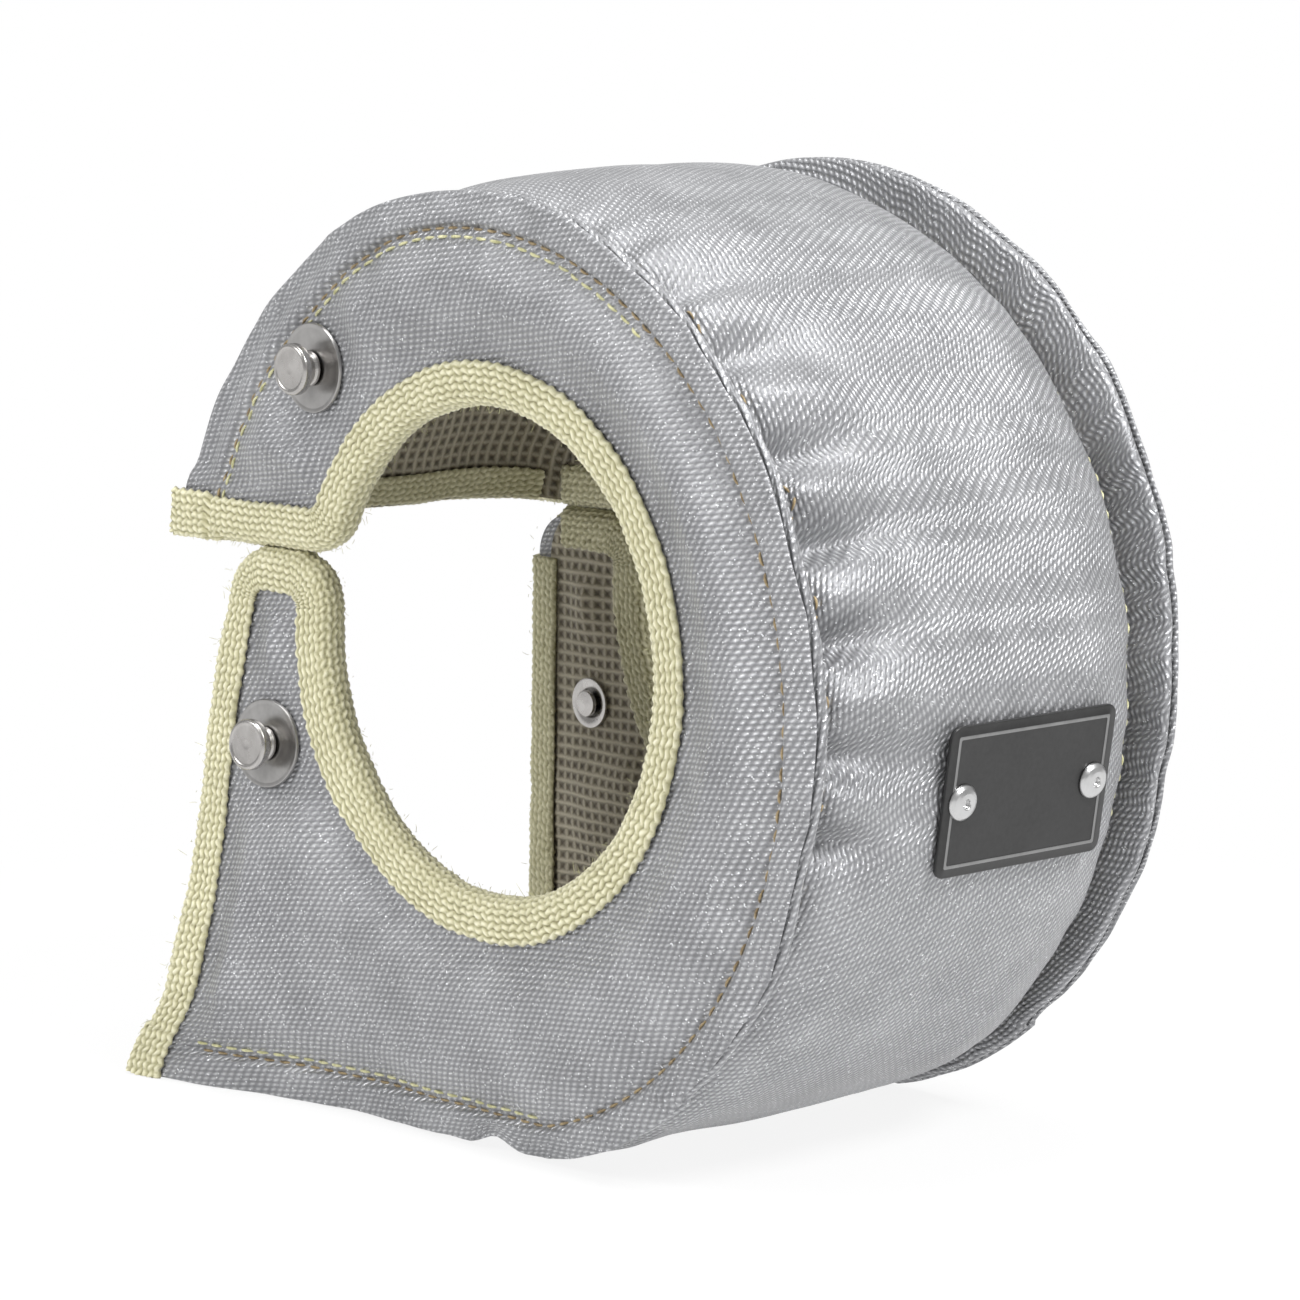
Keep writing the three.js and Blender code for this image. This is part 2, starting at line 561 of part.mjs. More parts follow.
// Binding tape folded over a panel's edge. Past the band it covers only the cover's edge.
function panelBinding(panel) {
  const edge = boundEdge(panel);
  const level = HALF_WIDTH - SEAM_DIP;
  const face = level + TAPE_CLEARANCE;
  const top = face + TAPE_THICKNESS;
  const stack = COVER_THICKNESS + 2 * LAYER_GAP + EDGE_PAD + LINING_THICKNESS;
  const back = level - stack - TAPE_CLEARANCE;
  const bottom = back - TAPE_THICKNESS;
  const coverEdge = HALF_WIDTH - LIP_THICKNESS;
  const folded = [
    [TAPE_WIDTH, top], [1.2, top], [0, level], [0, level - stack], [1.2, bottom], [TAPE_WIDTH, bottom],
    [TAPE_WIDTH, back], [TAPE_FOLD, back], [TAPE_FOLD, face], [TAPE_WIDTH, face],
  ];
  const flat = [
    [TAPE_WIDTH, top], [1.2, top], [0, level], [0, coverEdge + 0.2], [0.3, coverEdge], [0.7, coverEdge],
    [1, coverEdge], [TAPE_FOLD, coverEdge + 0.2], [TAPE_FOLD, face], [TAPE_WIDTH, face],
  ];
  const inside = seamRoot(panel).clear + SEAM_GAP;
  const lipAt = (radius) => (t, inset) => {
    const z = LIP_TOP + inset;
    return new THREE.Vector2(-Math.sqrt(radius ** 2 - z ** 2), z);
  };
  const freeAt = (z) => (t, inset) => freeEdge(panel).at(z, inset);
  const step = 0.3;
  const runs = [
    [lipAt(FLANGE_RADIUS - 0.5), [0], flat],
    [lipAt(inside + step), [0], flat],
    [lipAt(inside), [0], folded],
    [edge.upperLip, [0.6, 1], folded],
    [edge.upperCorner, shares(4), folded],
    [edge.hole, shares(30), folded],
    [edge.lowerCorner, shares(4), folded],
    [edge.lowerLip, [1], folded],
    [edge.outerCorner, shares(4), folded],
    [edge.freeEdge, shares(10).slice(0, -2), folded],
    [freeAt(BASE_CUT - inside), [0], folded],
    [freeAt(BASE_CUT - inside - step), [0], flat],
    [freeAt(0.5 - AXIS_HEIGHT), [0], flat],
  ];
  const sections = runs.flatMap(([run, stops, section]) => stops.map((t) => section.map(([inset, y]) => {
    const p = run(t, inset);
    return settle(new THREE.Vector3(p.x, panel.side * y, p.y));
  })));
  return foldedTape(sections);
}

// Equal shares of a run, from just after its start to its end
const shares = (count) => Array.from({ length: count }, (_, k) => (k + 1) / count);

// Binding tape along the two ends of the band, above and below the mouth
function mouthBinding(upper) {
  const profile = bandProfile().slice(2, -2);
  const radiusAt = (y) => {
    const k = Math.max(1, profile.findIndex(([, rowY]) => rowY >= y));
    const [[r0, y0], [r1, y1]] = [profile[k - 1], profile[k]];
    return mix(r0, r1, (y - y0) / (y1 - y0));
  };
  const rows = profile.map(([, y]) => y - Math.sign(y) * (Math.abs(y) > LIP_BACK - 6 ? 1 : 0));
  const sections = rows.map((y, k) => {
    const outer = radiusAt(y);
    const stack = BAND_DEPTHS.liningBack(bandPad((k + 1) / (rows.length + 1), false));
    const high = outer + TAPE_CLEARANCE;
    const low = outer - stack - 2 * TAPE_CLEARANCE;
    const loop = [
      [TAPE_WIDTH, high + TAPE_THICKNESS], [1.2, high + TAPE_THICKNESS], [0, outer], [0, outer - stack],
      [1.2, low - TAPE_THICKNESS], [TAPE_WIDTH, low - TAPE_THICKNESS],
      [TAPE_WIDTH, low], [TAPE_FOLD, low], [TAPE_FOLD, high], [TAPE_WIDTH, high],
    ];
    return loop.map(([inset, r]) => settle(mouthPoint(upper, inset, r, y, outer)));
  });
  return foldedTape(sections);
}

function mouthPoint(upper, inset, radius, y, crown) {
  if (upper) {
    const angle = mouthAngle(inset);
    return new THREE.Vector3(radius * Math.cos(angle), y, radius * Math.sin(angle));
  }
  const r = radius - Math.max(0, crown - FLANGE_RADIUS + CROWN_CLEARANCE + TAPE_STEP);
  return new THREE.Vector3(FRONT.edgeBottomX + inset, y, BASE_CUT - r);
}

// Lacing anchors: a shank through the panel with a capstan head, a washer outside and one inside
function anchorFrame(panel, x, z) {
  const at = (px, pz) => settle(new THREE.Vector3(px, panel.side * HALF_WIDTH, pz));
  const origin = at(x, z);
  const across = at(x + 1, z).sub(origin);
  const up = at(x, z + 1).sub(origin);
  const out = up.clone().cross(across).normalize();
  if (out.y * panel.side < 0) out.negate();
  const turn = new THREE.Quaternion().setFromUnitVectors(new THREE.Vector3(0, 1, 0), out);
  return new THREE.Matrix4().compose(origin, turn, new THREE.Vector3(1, 1, 1));
}

function ring(inner, outer, low, thickness) {
  const high = low + thickness;
  const profile = [[inner, low], [outer, low], [outer, high], [inner, high], [inner, low]];
  return new THREE.LatheGeometry(profile.map(([r, y]) => new THREE.Vector2(r, y)), 12);
}

function anchorParts(panel, level, [x, z]) {
  const heights = panelHeights(panel, x, z);
  const seat = heights.face - HALF_WIDTH + SEAT_GAP;
  const washerTop = seat + WASHER_THICKNESS;
  const inner = heights.liningBack - HALF_WIDTH - SEAT_GAP - WASHER_THICKNESS;
  const collarLow = washerTop + SEAT_GAP;
  const headLow = collarLow + COLLAR_HEIGHT;
  const headTop = headLow + HEAD_HEIGHT;
  const tail = inner - SEAT_GAP;
  const profile = [
    [0, tail - 1], [3.2, tail - 1], [3.2, tail], [SHANK_RADIUS, tail], [SHANK_RADIUS, collarLow],
    [COLLAR_RADIUS, collarLow], [COLLAR_RADIUS, headLow], [HEAD_RADIUS, headLow + 0.3],
    [HEAD_RADIUS, headTop - 0.6], [HEAD_RADIUS - 0.7, headTop], [0, headTop],
  ];
  const capstan = new THREE.LatheGeometry(profile.map(([r, y]) => new THREE.Vector2(r, y)), 12);
  const hole = SHANK_RADIUS + SHANK_CLEARANCE;
  const group = new THREE.Group();
  group.applyMatrix4(anchorFrame(panel, x, z));
  const name = `${panel.name}_${level}_anchor`;
  group.add(
    part(`${name}_washer`, ring(hole, WASHER_RADIUS, seat, WASHER_THICKNESS), 'steel'),
    part(`${name}_capstan`, capstan, 'steel'),
    part(`${name}_retaining_washer`, ring(hole, RETAINER_RADIUS, inner, WASHER_THICKNESS), 'steel'),
  );
  return group;
}

function anchorBores(panel) {
  return Object.values(panel.anchors)
    .map(([x, z]) => bore(anchorFrame(panel, x, z), SHANK_RADIUS + SHANK_CLEARANCE, -16, 8));
}

// A panel's three layers, its binding and its anchors
function panelParts(panel) {
  const bores = anchorBores(panel);
  const inset = FLANGE_RADIUS - seamRoot(panel).clear;
  const matInsets = [inset, LAYER_INSET + MAT_INSET];
  const cover = panelLayer(panel, [0, LAYER_INSET], panel.columns, coverStations, 'face', 'coverBack');
  const mat = panelLayer(panel, matInsets, 0.45, matStations, 'matFront', 'matBack');
  const lining = panelLayer(panel, matInsets, 0.45, matStations, 'liningFront', 'liningBack');
  const group = new THREE.Group();
  group.add(
    part(`${panel.name}_cover`, bored(cover, bores), 'cover'),
    part(`${panel.name}_insulation`, bored(mat, bores), 'insulation'),
    part(`${panel.name}_lining`, bored(lining, bores), 'lining'),
    part(`${panel.name}_binding`, panelBinding(panel), 'tape'),
  );
  Object.entries(panel.anchors).forEach(([level, place]) => group.add(anchorParts(panel, level, place)));
  return group;
}

// The name plate's own frame: Y out of the band, X along the drum's axis
function plateFrame() {
  const angle = PLATE_ANGLE * DEGREE;
  const out = new THREE.Vector3(Math.cos(angle), 0, Math.sin(angle));
  const along = new THREE.Vector3(0, 1, 0);
  const up = new THREE.Vector3().crossVectors(along, out);
  const place = out.clone().multiplyScalar(CROWN_RADIUS + SEAT_GAP).setY(PLATE_Y);
  return new THREE.Matrix4().makeBasis(along, out, up).setPosition(place);
}

function roundedPlate() {
  const [w, h, r] = [PLATE_LENGTH / 2, PLATE_HEIGHT / 2, PLATE_CORNER];
  const outline = new THREE.Shape();
  outline.absarc(w - r, h - r, r, 0, Math.PI / 2);
  outline.absarc(r - w, h - r, r, Math.PI / 2, Math.PI);
  outline.absarc(r - w, r - h, r, Math.PI, 1.5 * Math.PI);
  outline.absarc(w - r, r - h, r, 1.5 * Math.PI, 2 * Math.PI);
  [-1, 1].forEach((end) => {
    const hole = new THREE.Path();
    hole.absarc(end * RIVET_SPACING / 2, 0, RIVET_SHANK_RADIUS + SEAT_GAP, 0, 2 * Math.PI, true);
    outline.holes.push(hole);
  });
  const depth = PLATE_THICKNESS;
  const plate = new THREE.ExtrudeGeometry(outline, { depth, bevelEnabled: false, curveSegments: 4 });
  return plate.rotateX(Math.PI / 2).translate(0, PLATE_THICKNESS, 0);
}

function rivet() {
  const seat = PLATE_THICKNESS + SEAT_GAP;
  const tail = -COVER_THICKNESS - 2 * SEAT_GAP - PLATE_SINK;
  const profile = [
    [0, tail - 1.6], [RIVET_TAIL_RADIUS, tail - 1.6], [RIVET_TAIL_RADIUS, tail], [RIVET_SHANK_RADIUS, tail],
    [RIVET_SHANK_RADIUS, seat], [RIVET_HEAD_RADIUS, seat], [RIVET_HEAD_RADIUS * 0.94, seat + 0.6],
    [RIVET_HEAD_RADIUS * 0.62, seat + RIVET_HEAD_HEIGHT], [1.1, seat + RIVET_HEAD_HEIGHT],
    [1.1, seat + 0.7], [0, seat + 0.7],
  ];
  return new THREE.LatheGeometry(profile.map(([r, y]) => new THREE.Vector2(r, y)), 9);
}

const RIVET_ENDS = { front: -1, rear: 1 };

function plateParts() {
  const group = new THREE.Group();
  group.applyMatrix4(plateFrame());
  group.add(part('name_plate', roundedPlate(), 'plate'));
  Object.entries(RIVET_ENDS).forEach(([name, end]) => {
    group.add(part(`name_plate_${name}_rivet`, rivet().translate(end * RIVET_SPACING / 2, 0, 0), 'rivet'));
  });
  return group;
}

function rivetBores(radius, low) {
  return Object.values(RIVET_ENDS).map((end) => {
    const place = new THREE.Matrix4().makeTranslation(end * RIVET_SPACING / 2, 0, 0);
    return bore(plateFrame().multiply(place), radius, low, 4);
  });
}

function bandParts() {
  const group = new THREE.Group();
  const cover = bored(bandCover(), rivetBores(RIVET_SHANK_RADIUS + SEAT_GAP, -6));
  const mat = bored(bandLayer('mat', 'matBack'), rivetBores(RIVET_TAIL_RADIUS + 0.6, -6.5));
  group.add(
    part('band_cover', cover, 'cover'),
    part('band_insulation', mat, 'insulation'),
    part('band_lining', bandLayer('lining', 'liningBack'), 'lining'),
    part('mouth_upper_binding', mouthBinding(true), 'tape'),
    part('mouth_lower_binding', mouthBinding(false), 'tape'),
  );
  return group;
}

// The blanket stands on its flat base, with the origin on the floor below its middle
function blanket() {
  const drum = new THREE.Group();
  drum.add(panelParts(FRONT), panelParts(REAR), bandParts(), plateParts());
  const model = new THREE.Group();
  model.add(drum);
  model.updateMatrixWorld(true);
  const box = new THREE.Box3().setFromObject(model, true);
  const middle = box.getCenter(new THREE.Vector3());
  drum.position.set(-middle.x, -middle.y, -box.min.z);
  return model;
}

export default blanket();
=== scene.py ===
import math

import bmesh
import bpy
import numpy as np
from mathutils import Matrix, Vector


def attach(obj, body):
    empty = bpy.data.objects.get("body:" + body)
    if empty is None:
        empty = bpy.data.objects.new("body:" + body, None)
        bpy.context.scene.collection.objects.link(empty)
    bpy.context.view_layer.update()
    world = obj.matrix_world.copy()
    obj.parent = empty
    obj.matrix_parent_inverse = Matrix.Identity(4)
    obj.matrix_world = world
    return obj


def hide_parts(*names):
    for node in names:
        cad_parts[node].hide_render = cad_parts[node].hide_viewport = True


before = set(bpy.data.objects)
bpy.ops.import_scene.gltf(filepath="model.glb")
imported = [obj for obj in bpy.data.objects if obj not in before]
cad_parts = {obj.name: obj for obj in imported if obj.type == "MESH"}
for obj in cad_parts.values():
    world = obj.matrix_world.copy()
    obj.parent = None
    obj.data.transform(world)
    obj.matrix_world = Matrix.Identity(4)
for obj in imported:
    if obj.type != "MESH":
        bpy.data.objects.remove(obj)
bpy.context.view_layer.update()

# Drum
FLANGE = 104.0
HALF_WIDTH = 54.5
BASE_CUT = 3.0
AXIS_HEIGHT = FLANGE - BASE_CUT
SHIFT = np.array([-2.274, 4.006, 101.0])
LIP = 2.3
LIP_BACK = 49.5
BAND_END = 51.5
SEAM_DIP = 0.8
SLIT = 22.6
LIP_TOP = 23.0
LIP_LOW = 22.2
CORNER = 12.0
COVER = 1.2
LAYER_GAP = 0.4
LINING = 1.0
EDGE_PAD = 1.8
LAYER_INSET = 1.8
CORNER_STIFF = 38.0
CROWN = 107.0
MOUTH_RADIUS = 91.9
MOUTH_FOOT = -99.0
EDGE_MAT, MIDDLE_MAT = 1.4, 7.0

# Front corner's flare and tuck, and the rear flange's growth at its upper right
FLARE, FLARE_SPREAD = 14, 0.42
FLARE_X, FLARE_Y, FLARE_Z = 30, 10, 40
TUCK = 8.5
REAR_GROWTH = 4.5

FRONT = dict(
    name="front", side=-1, hole=(6.0, 6.5), radius=52.0, top=-79.0, bottom=-99.0, flange=7.5,
    bulge=3.6, inner=2.6, anchors=[(-50.49, 63.47), (-64.99, -20.99)], seed=3,
)
REAR = dict(
    name="rear", side=1, hole=(0.0, 5.0), radius=56.0, top=-96.0, bottom=-99.0, flange=10.5,
    bulge=3.0, inner=2.4, anchors=[(-50.42, 63.39), (-74.52, -24.07)], seed=11,
)

# Tape
TAPE_WIDTH = 10.0
TAPE = 1.2
ROW_PITCH = 1.62
YARN_PITCH = 2.0

# Washers, studs, plate and rivets
WASHER_RADIUS = 10.0
WASHER = 0.9
SEAT_GAP = 0.3
COLLAR_HEIGHT, HEAD_HEIGHT = 3.2, 2.6
PLATE = (49.0, 32.0, 0.9)
PLATE_ANGLE = math.radians(-9)
PLATE_Y = 5.6
RIVET_SPACING = 39.0

# Gathers behind the front seam: degrees round the drum, and depth
GATHERS = [(-14, 3.6), (-3, 5.2), (9, 4.4), (21, 5.8), (33, 4.4), (46, 3.6), (58, 2.6)]

# Camera
AZIMUTH, ELEVATION = math.radians(47.4), math.radians(8.2)
TARGET = Vector((-0.0012, 0.0022, 0.10264))
DISTANCE = 0.988
LENS, SENSOR = 124.6, 36


def smooth(t):
    t = np.clip(t, 0, 1)
    return t * t * (3 - 2 * t)


def mix(a, b, t):
    return a + (b - a) * t


def hashed(i, j, seed):
    n = (i * 374761393 + j * 668265263 + seed * 2246822519) & 0xFFFFFFFF
    n = ((n ^ (n >> 13)) * 1274126177) & 0xFFFFFFFF
    return ((n ^ (n >> 16)) & 0xFFFF) / 65535.0


def noise(x, y, size, seed):
    """Smooth noise from -1 to 1 over a plane, with lumps about size long."""
    x, y = np.asarray(x) / size, np.asarray(y) / size
    i, j = np.floor(x).astype(np.int64), np.floor(y).astype(np.int64)
    u, v = smooth(x - i), smooth(y - j)
    low = mix(hashed(i, j, seed), hashed(i + 1, j, seed), u)
    high = mix(hashed(i, j + 1, seed), hashed(i + 1, j + 1, seed), u)
    return 2 * mix(low, high, v) - 1


def corner_set(x, y, z):
    """How far the front panel's lower free corner flares forwards, and its edge is tucked in."""
    forward = smooth((-y - FLARE_Y) / (LIP_BACK - FLARE_Y))
    outward = smooth((-x - FLARE_X) / (FLANGE - FLARE_X))
    flare = FLARE * forward * outward * smooth((FLARE_Z - z) / (AXIS_HEIGHT + FLARE_Z))
    low = smooth((z + AXIS_HEIGHT) / 24) * smooth((2 - z) / 62)
    return flare, TUCK * forward * smooth((-x - 48) / 42) * low


def settle(p):
    """The set of the sewn blanket: the corner's flare, the rear flange's growth, waves and creases."""
    x, y, z = p[..., 0], p[..., 1], p[..., 2]
    flare, tuck = corner_set(x, y, z)
    radius = np.hypot(x, z)
    angle = np.arctan2(z, x)
    rim = np.where((z < -80) & (radius > 90), AXIS_HEIGHT + z, FLANGE - radius)
    on_lip = smooth((9 - rim) / 9) * smooth((np.abs(y) - LIP_BACK + 4) / 4)
    clear = smooth((x + FLANGE - 9) / 20)
    wave = 0.6 * np.sin(9 * angle) * smooth((z + AXIS_HEIGHT) / 20)
    around = angle * FLANGE
    wave = wave + 0.9 * noise(around, y, 17, 5) + 0.45 * noise(around, y, 6, 8)
    crease = smooth(1 - np.abs(x - 12) / 34) * smooth((-z - 70) / 30) * smooth(-y / 20)
    lift = on_lip * clear * crease * (1.6 + 1.6 * noise(x, z, 9, 21))
    pull = on_lip * clear * (0.35 + 0.55 * noise(around, np.sign(y), 11, 31))
    size = np.maximum(radius, 1)
    degrees = np.degrees(angle)
    grow = REAR_GROWTH * smooth((y - LIP_BACK + 1.5) / 1.5) * smooth((size - 94) / 9)
    grow = grow * (0.5 + 0.5 * smooth((degrees - 5) / 40))
    grow = grow * smooth((degrees + 50) / 45) * (1 - smooth((degrees - 90) / 45))
    x, z = x * (1 + grow / size), z * (1 + grow / size)
    out = np.stack([x - FLARE_SPREAD * flare + tuck, y - flare + on_lip * clear * wave, z], -1)
    shrink = (pull + lift) / size
    out[..., 0] -= x * shrink
    out[..., 2] -= z * shrink
    out[..., 2] = np.maximum(out[..., 2], -AXIS_HEIGHT)
    return out


def mesh_object(name, points, faces, materials, uv=None, index=None, shade=None):
    """A mesh from points in the drum frame, riding on the blanket's one body."""
    mesh = bpy.data.meshes.new(name)
    where = (np.asarray(points, float) + SHIFT) / 1000
    mesh.from_pydata(where.tolist(), [], faces if isinstance(faces, list) else faces.tolist())
    for material in materials:
        mesh.materials.append(material)
    if uv is not None:
        layer = mesh.uv_layers.new(name="cloth")
        corner = np.zeros(len(mesh.loops), np.int64)
        mesh.loops.foreach_get("vertex_index", corner)
        layer.data.foreach_set("uv", (np.asarray(uv)[corner] / 10).astype(np.float32).ravel())
    if index is not None:
        mesh.polygons.foreach_set("material_index", np.asarray(index, np.int32))
    if shade is not None:
        # shade holds the tape's weave height, from which its material paints shade in the gaps and highlight
        # on the yarn tops.
        attribute = mesh.attributes.new("relief", "FLOAT", "POINT")
        attribute.data.foreach_set("value", np.asarray(shade, np.float32))
    mesh.polygons.foreach_set("use_smooth", np.ones(len(mesh.polygons), bool))
    mesh.update()
    piece = bpy.data.objects.new(name, mesh)
    bpy.context.scene.collection.objects.link(piece)
    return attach(piece, "root")


def loop_faces(columns, rows):
    """Quads of a tube of closed loops, point (i, j) being i * rows + j."""
    i, j = np.meshgrid(np.arange(columns - 1), np.arange(rows), indexing="ij")
    a, b = i * rows + j, i * rows + (j + 1) % rows
    return np.stack([a, b, b + rows, a + rows], -1).reshape(-1, 4)


def end_caps(columns, rows):
    """The two faces that close such a tube's ends."""
    return [list(range(rows)), [(columns - 1) * rows + j for j in range(rows)][::-1]]


def closed_sheet(name, grid, lining_from, uv, materials):
    """A closed form from loops of points, grid[i, j]. Rows from lining_from on are lining."""
    columns, rows = grid.shape[:2]
    quads = loop_faces(columns, rows)
    row = quads[:, 0] % rows
    index = np.concatenate([(row >= lining_from).astype(int), [1, 1]])
    faces = quads.tolist() + end_caps(columns, rows)
    return mesh_object(name, grid.reshape(-1, 3), faces, materials, uv.reshape(-1, 2), index)


def free_edge(panel):
    """Corner, direction and inward normal of a panel's free edge below the slit."""
    corner = np.array([panel["bottom"], -AXIS_HEIGHT])
    along = np.array([panel["top"], LIP_LOW]) - corner
    along /= np.linalg.norm(along)
    return corner, along, np.array([along[1], -along[0]])


def free_at(panel, z, inset):
    corner, along, normal = free_edge(panel)
    step = (z + AXIS_HEIGHT - normal[1] * inset) / along[1]
    return corner[0] + normal[0] * inset + along[0] * step, corner[1] + normal[1] * inset + along[1] * step


def corners(panel):
    hx, hz = panel["hole"]
    reach = panel["radius"] + CORNER
    upper_z, lower_z = LIP_TOP + CORNER, LIP_LOW - CORNER
    upper = (hx - math.sqrt(reach ** 2 - (upper_z - hz) ** 2), upper_z)
    lower = (hx - math.sqrt(reach ** 2 - (lower_z - hz) ** 2), lower_z)
    return upper, lower, free_at(panel, lower_z, CORNER)


def bearing(a, b):
    return math.atan2(b[1] - a[1], b[0] - a[0])


def bound_edge(panel):
    """Runs of the bound edge: upper lip, hole, lower lip and free edge. Each gives points and normals."""
    upper, lower, outer = corners(panel)
    _, _, normal = free_edge(panel)
    hole = panel["hole"]
    left = math.atan2(-normal[1], -normal[0])
    below = bearing(hole, lower)
    below -= 2 * math.pi if below > 0 else 0

    def arc(centre, radius, start, end, grow):
        def at(t):
            angle = mix(start, end, np.asarray(t, float))
            c, s = np.cos(angle), np.sin(angle)
            return np.stack([centre[0] + radius * c, centre[1] + radius * s], -1), grow * np.stack([c, s], -1)
        return at, abs(end - start) * radius

    def line(a, b, n):
        a, b = np.array(a, float), np.array(b, float)

        def at(t):
            t = np.asarray(t, float)[..., None]
            return a + (b - a) * t, np.broadcast_to(np.array(n, float), np.broadcast_shapes(t.shape, (2,)))
        return at, float(np.linalg.norm(b - a))

    end = np.array(outer) - normal * CORNER
    foot = free_at(panel, 0.5 - AXIS_HEIGHT, 0)
    lip_start = (-math.sqrt((FLANGE - 0.5) ** 2 - LIP_TOP ** 2), LIP_TOP)
    return dict(
        upper_lip=line(lip_start, (upper[0], LIP_TOP), (0, 1)),
        upper_corner=arc(upper, CORNER, -math.pi / 2, bearing(upper, hole), -1),
        hole=arc(hole, panel["radius"], bearing(hole, upper), below, 1),
        lower_corner=arc(lower, CORNER, bearing(lower, hole), math.pi / 2, -1),
        lower_lip=line((lower[0], LIP_LOW), (outer[0], LIP_LOW), (0, -1)),
        outer_corner=arc(outer, CORNER, math.pi / 2, left, -1),
        free_edge=line(end, foot, normal),
    )


def tape_distance(panel, x, z):
    upper, lower, _ = corners(panel)
    corner, _, normal = free_edge(panel)
    hole = np.hypot(x - panel["hole"][0], z - panel["hole"][1]) - panel["radius"]
    above = np.where(x < upper[0], np.minimum(hole, z - LIP_TOP), hole)
    side = (x - corner[0]) * normal[0] + (z - corner[1]) * normal[1]
    lip = np.where(x < lower[0], LIP_LOW - z, hole)
    return np.where(z > SLIT, above, np.minimum(np.minimum(hole, side), lip))


def seam_distance(x, z):
    below = z + AXIS_HEIGHT
    return np.where((x < 0) & (z < SLIT), below, np.minimum(below, FLANGE - np.hypot(x, z)))


def flange_width(panel, x, z):
    """Width of a panel's flange, which rolls over wider at the front panel's upper left."""
    degrees = np.degrees(np.arctan2(z, x))
    wide = smooth((degrees - 98) / 32) if panel["side"] < 0 else 0
    return panel["flange"] + 4.2 * wide


def panel_surfaces(panel, x, z):
    """Heights of a panel's face and of its back above the drum's middle plane."""
    tape, seam = tape_distance(panel, x, z), seam_distance(x, z)
    flange = flange_width(panel, x, z)
    lift = smooth((tape - TAPE_WIDTH - 1.5) / 11) * smooth((seam - flange - 0.6) / 11)
    for ax, az in panel["anchors"]:
        lift = lift * smooth((np.hypot(x - ax, z - az) - WASHER_RADIUS - 1) / 12)
    lip = smooth((flange + 0.7 - seam) / 1.6) * smooth((tape - TAPE_WIDTH - 2) / 5)
    angle = np.arctan2(z, x) * FLANGE
    inside = seam - flange
    near_seam = smooth(inside / 1.5) * np.exp(-np.maximum(inside, 0) / 6.5)
    near_tape = smooth((tape - TAPE_WIDTH) / 1.5) * np.exp(-np.maximum(tape - TAPE_WIDTH, 0) / 4.5)
    seed = panel["seed"]
    fine, coarse = noise(angle, inside * 0.25, 5.5, seed), noise(angle, inside, 11, seed + 1)
    pucker = near_seam * (0.75 * fine + 0.5 * coarse)
    pucker += near_tape * 0.45 * noise(x, z, 6.5, seed + 2)
    broad = 0.55 * noise(x, z, 24, seed + 3) + 0.28 * noise(x + 0.6 * z, z - 0.6 * x, 11, seed + 4)
    face = HALF_WIDTH - SEAM_DIP * (1 - lip) + panel["bulge"] * lift
    face = face + pucker * (1 - lip) + broad * lift + 0.35 * lip * noise(angle, seam, 7, seed + 5)
    rolled = smooth((flange - 1.5 - seam) / 6) * (flange - panel["flange"] + 2.2)
    face = face - 0.42 * lip * rolled
    stitched = np.exp(-((inside - 0.7) / 0.8) ** 2) * smooth((tape - TAPE_WIDTH) / 4)
    face = face - 0.75 * stitched
    from_corner = np.hypot(x - panel["bottom"], z + AXIS_HEIGHT) - CORNER_STIFF
    stack = COVER + 2 * LAYER_GAP + EDGE_PAD + LINING
    inner = panel["inner"] * lift * smooth(from_corner / CORNER_STIFF)
    lining = HALF_WIDTH - SEAM_DIP - stack - inner - 0.3 * lift * (1 + noise(x, z, 9, seed + 6))
    lip_back = np.minimum(HALF_WIDTH - LIP + 0.25, face - 1.0)
    back = mix(lip_back, lining, smooth((seam - 13.4) / 1.2))
    return face, back


def base_angle(radius):
    return -np.arcsin((radius - BASE_CUT) / radius)


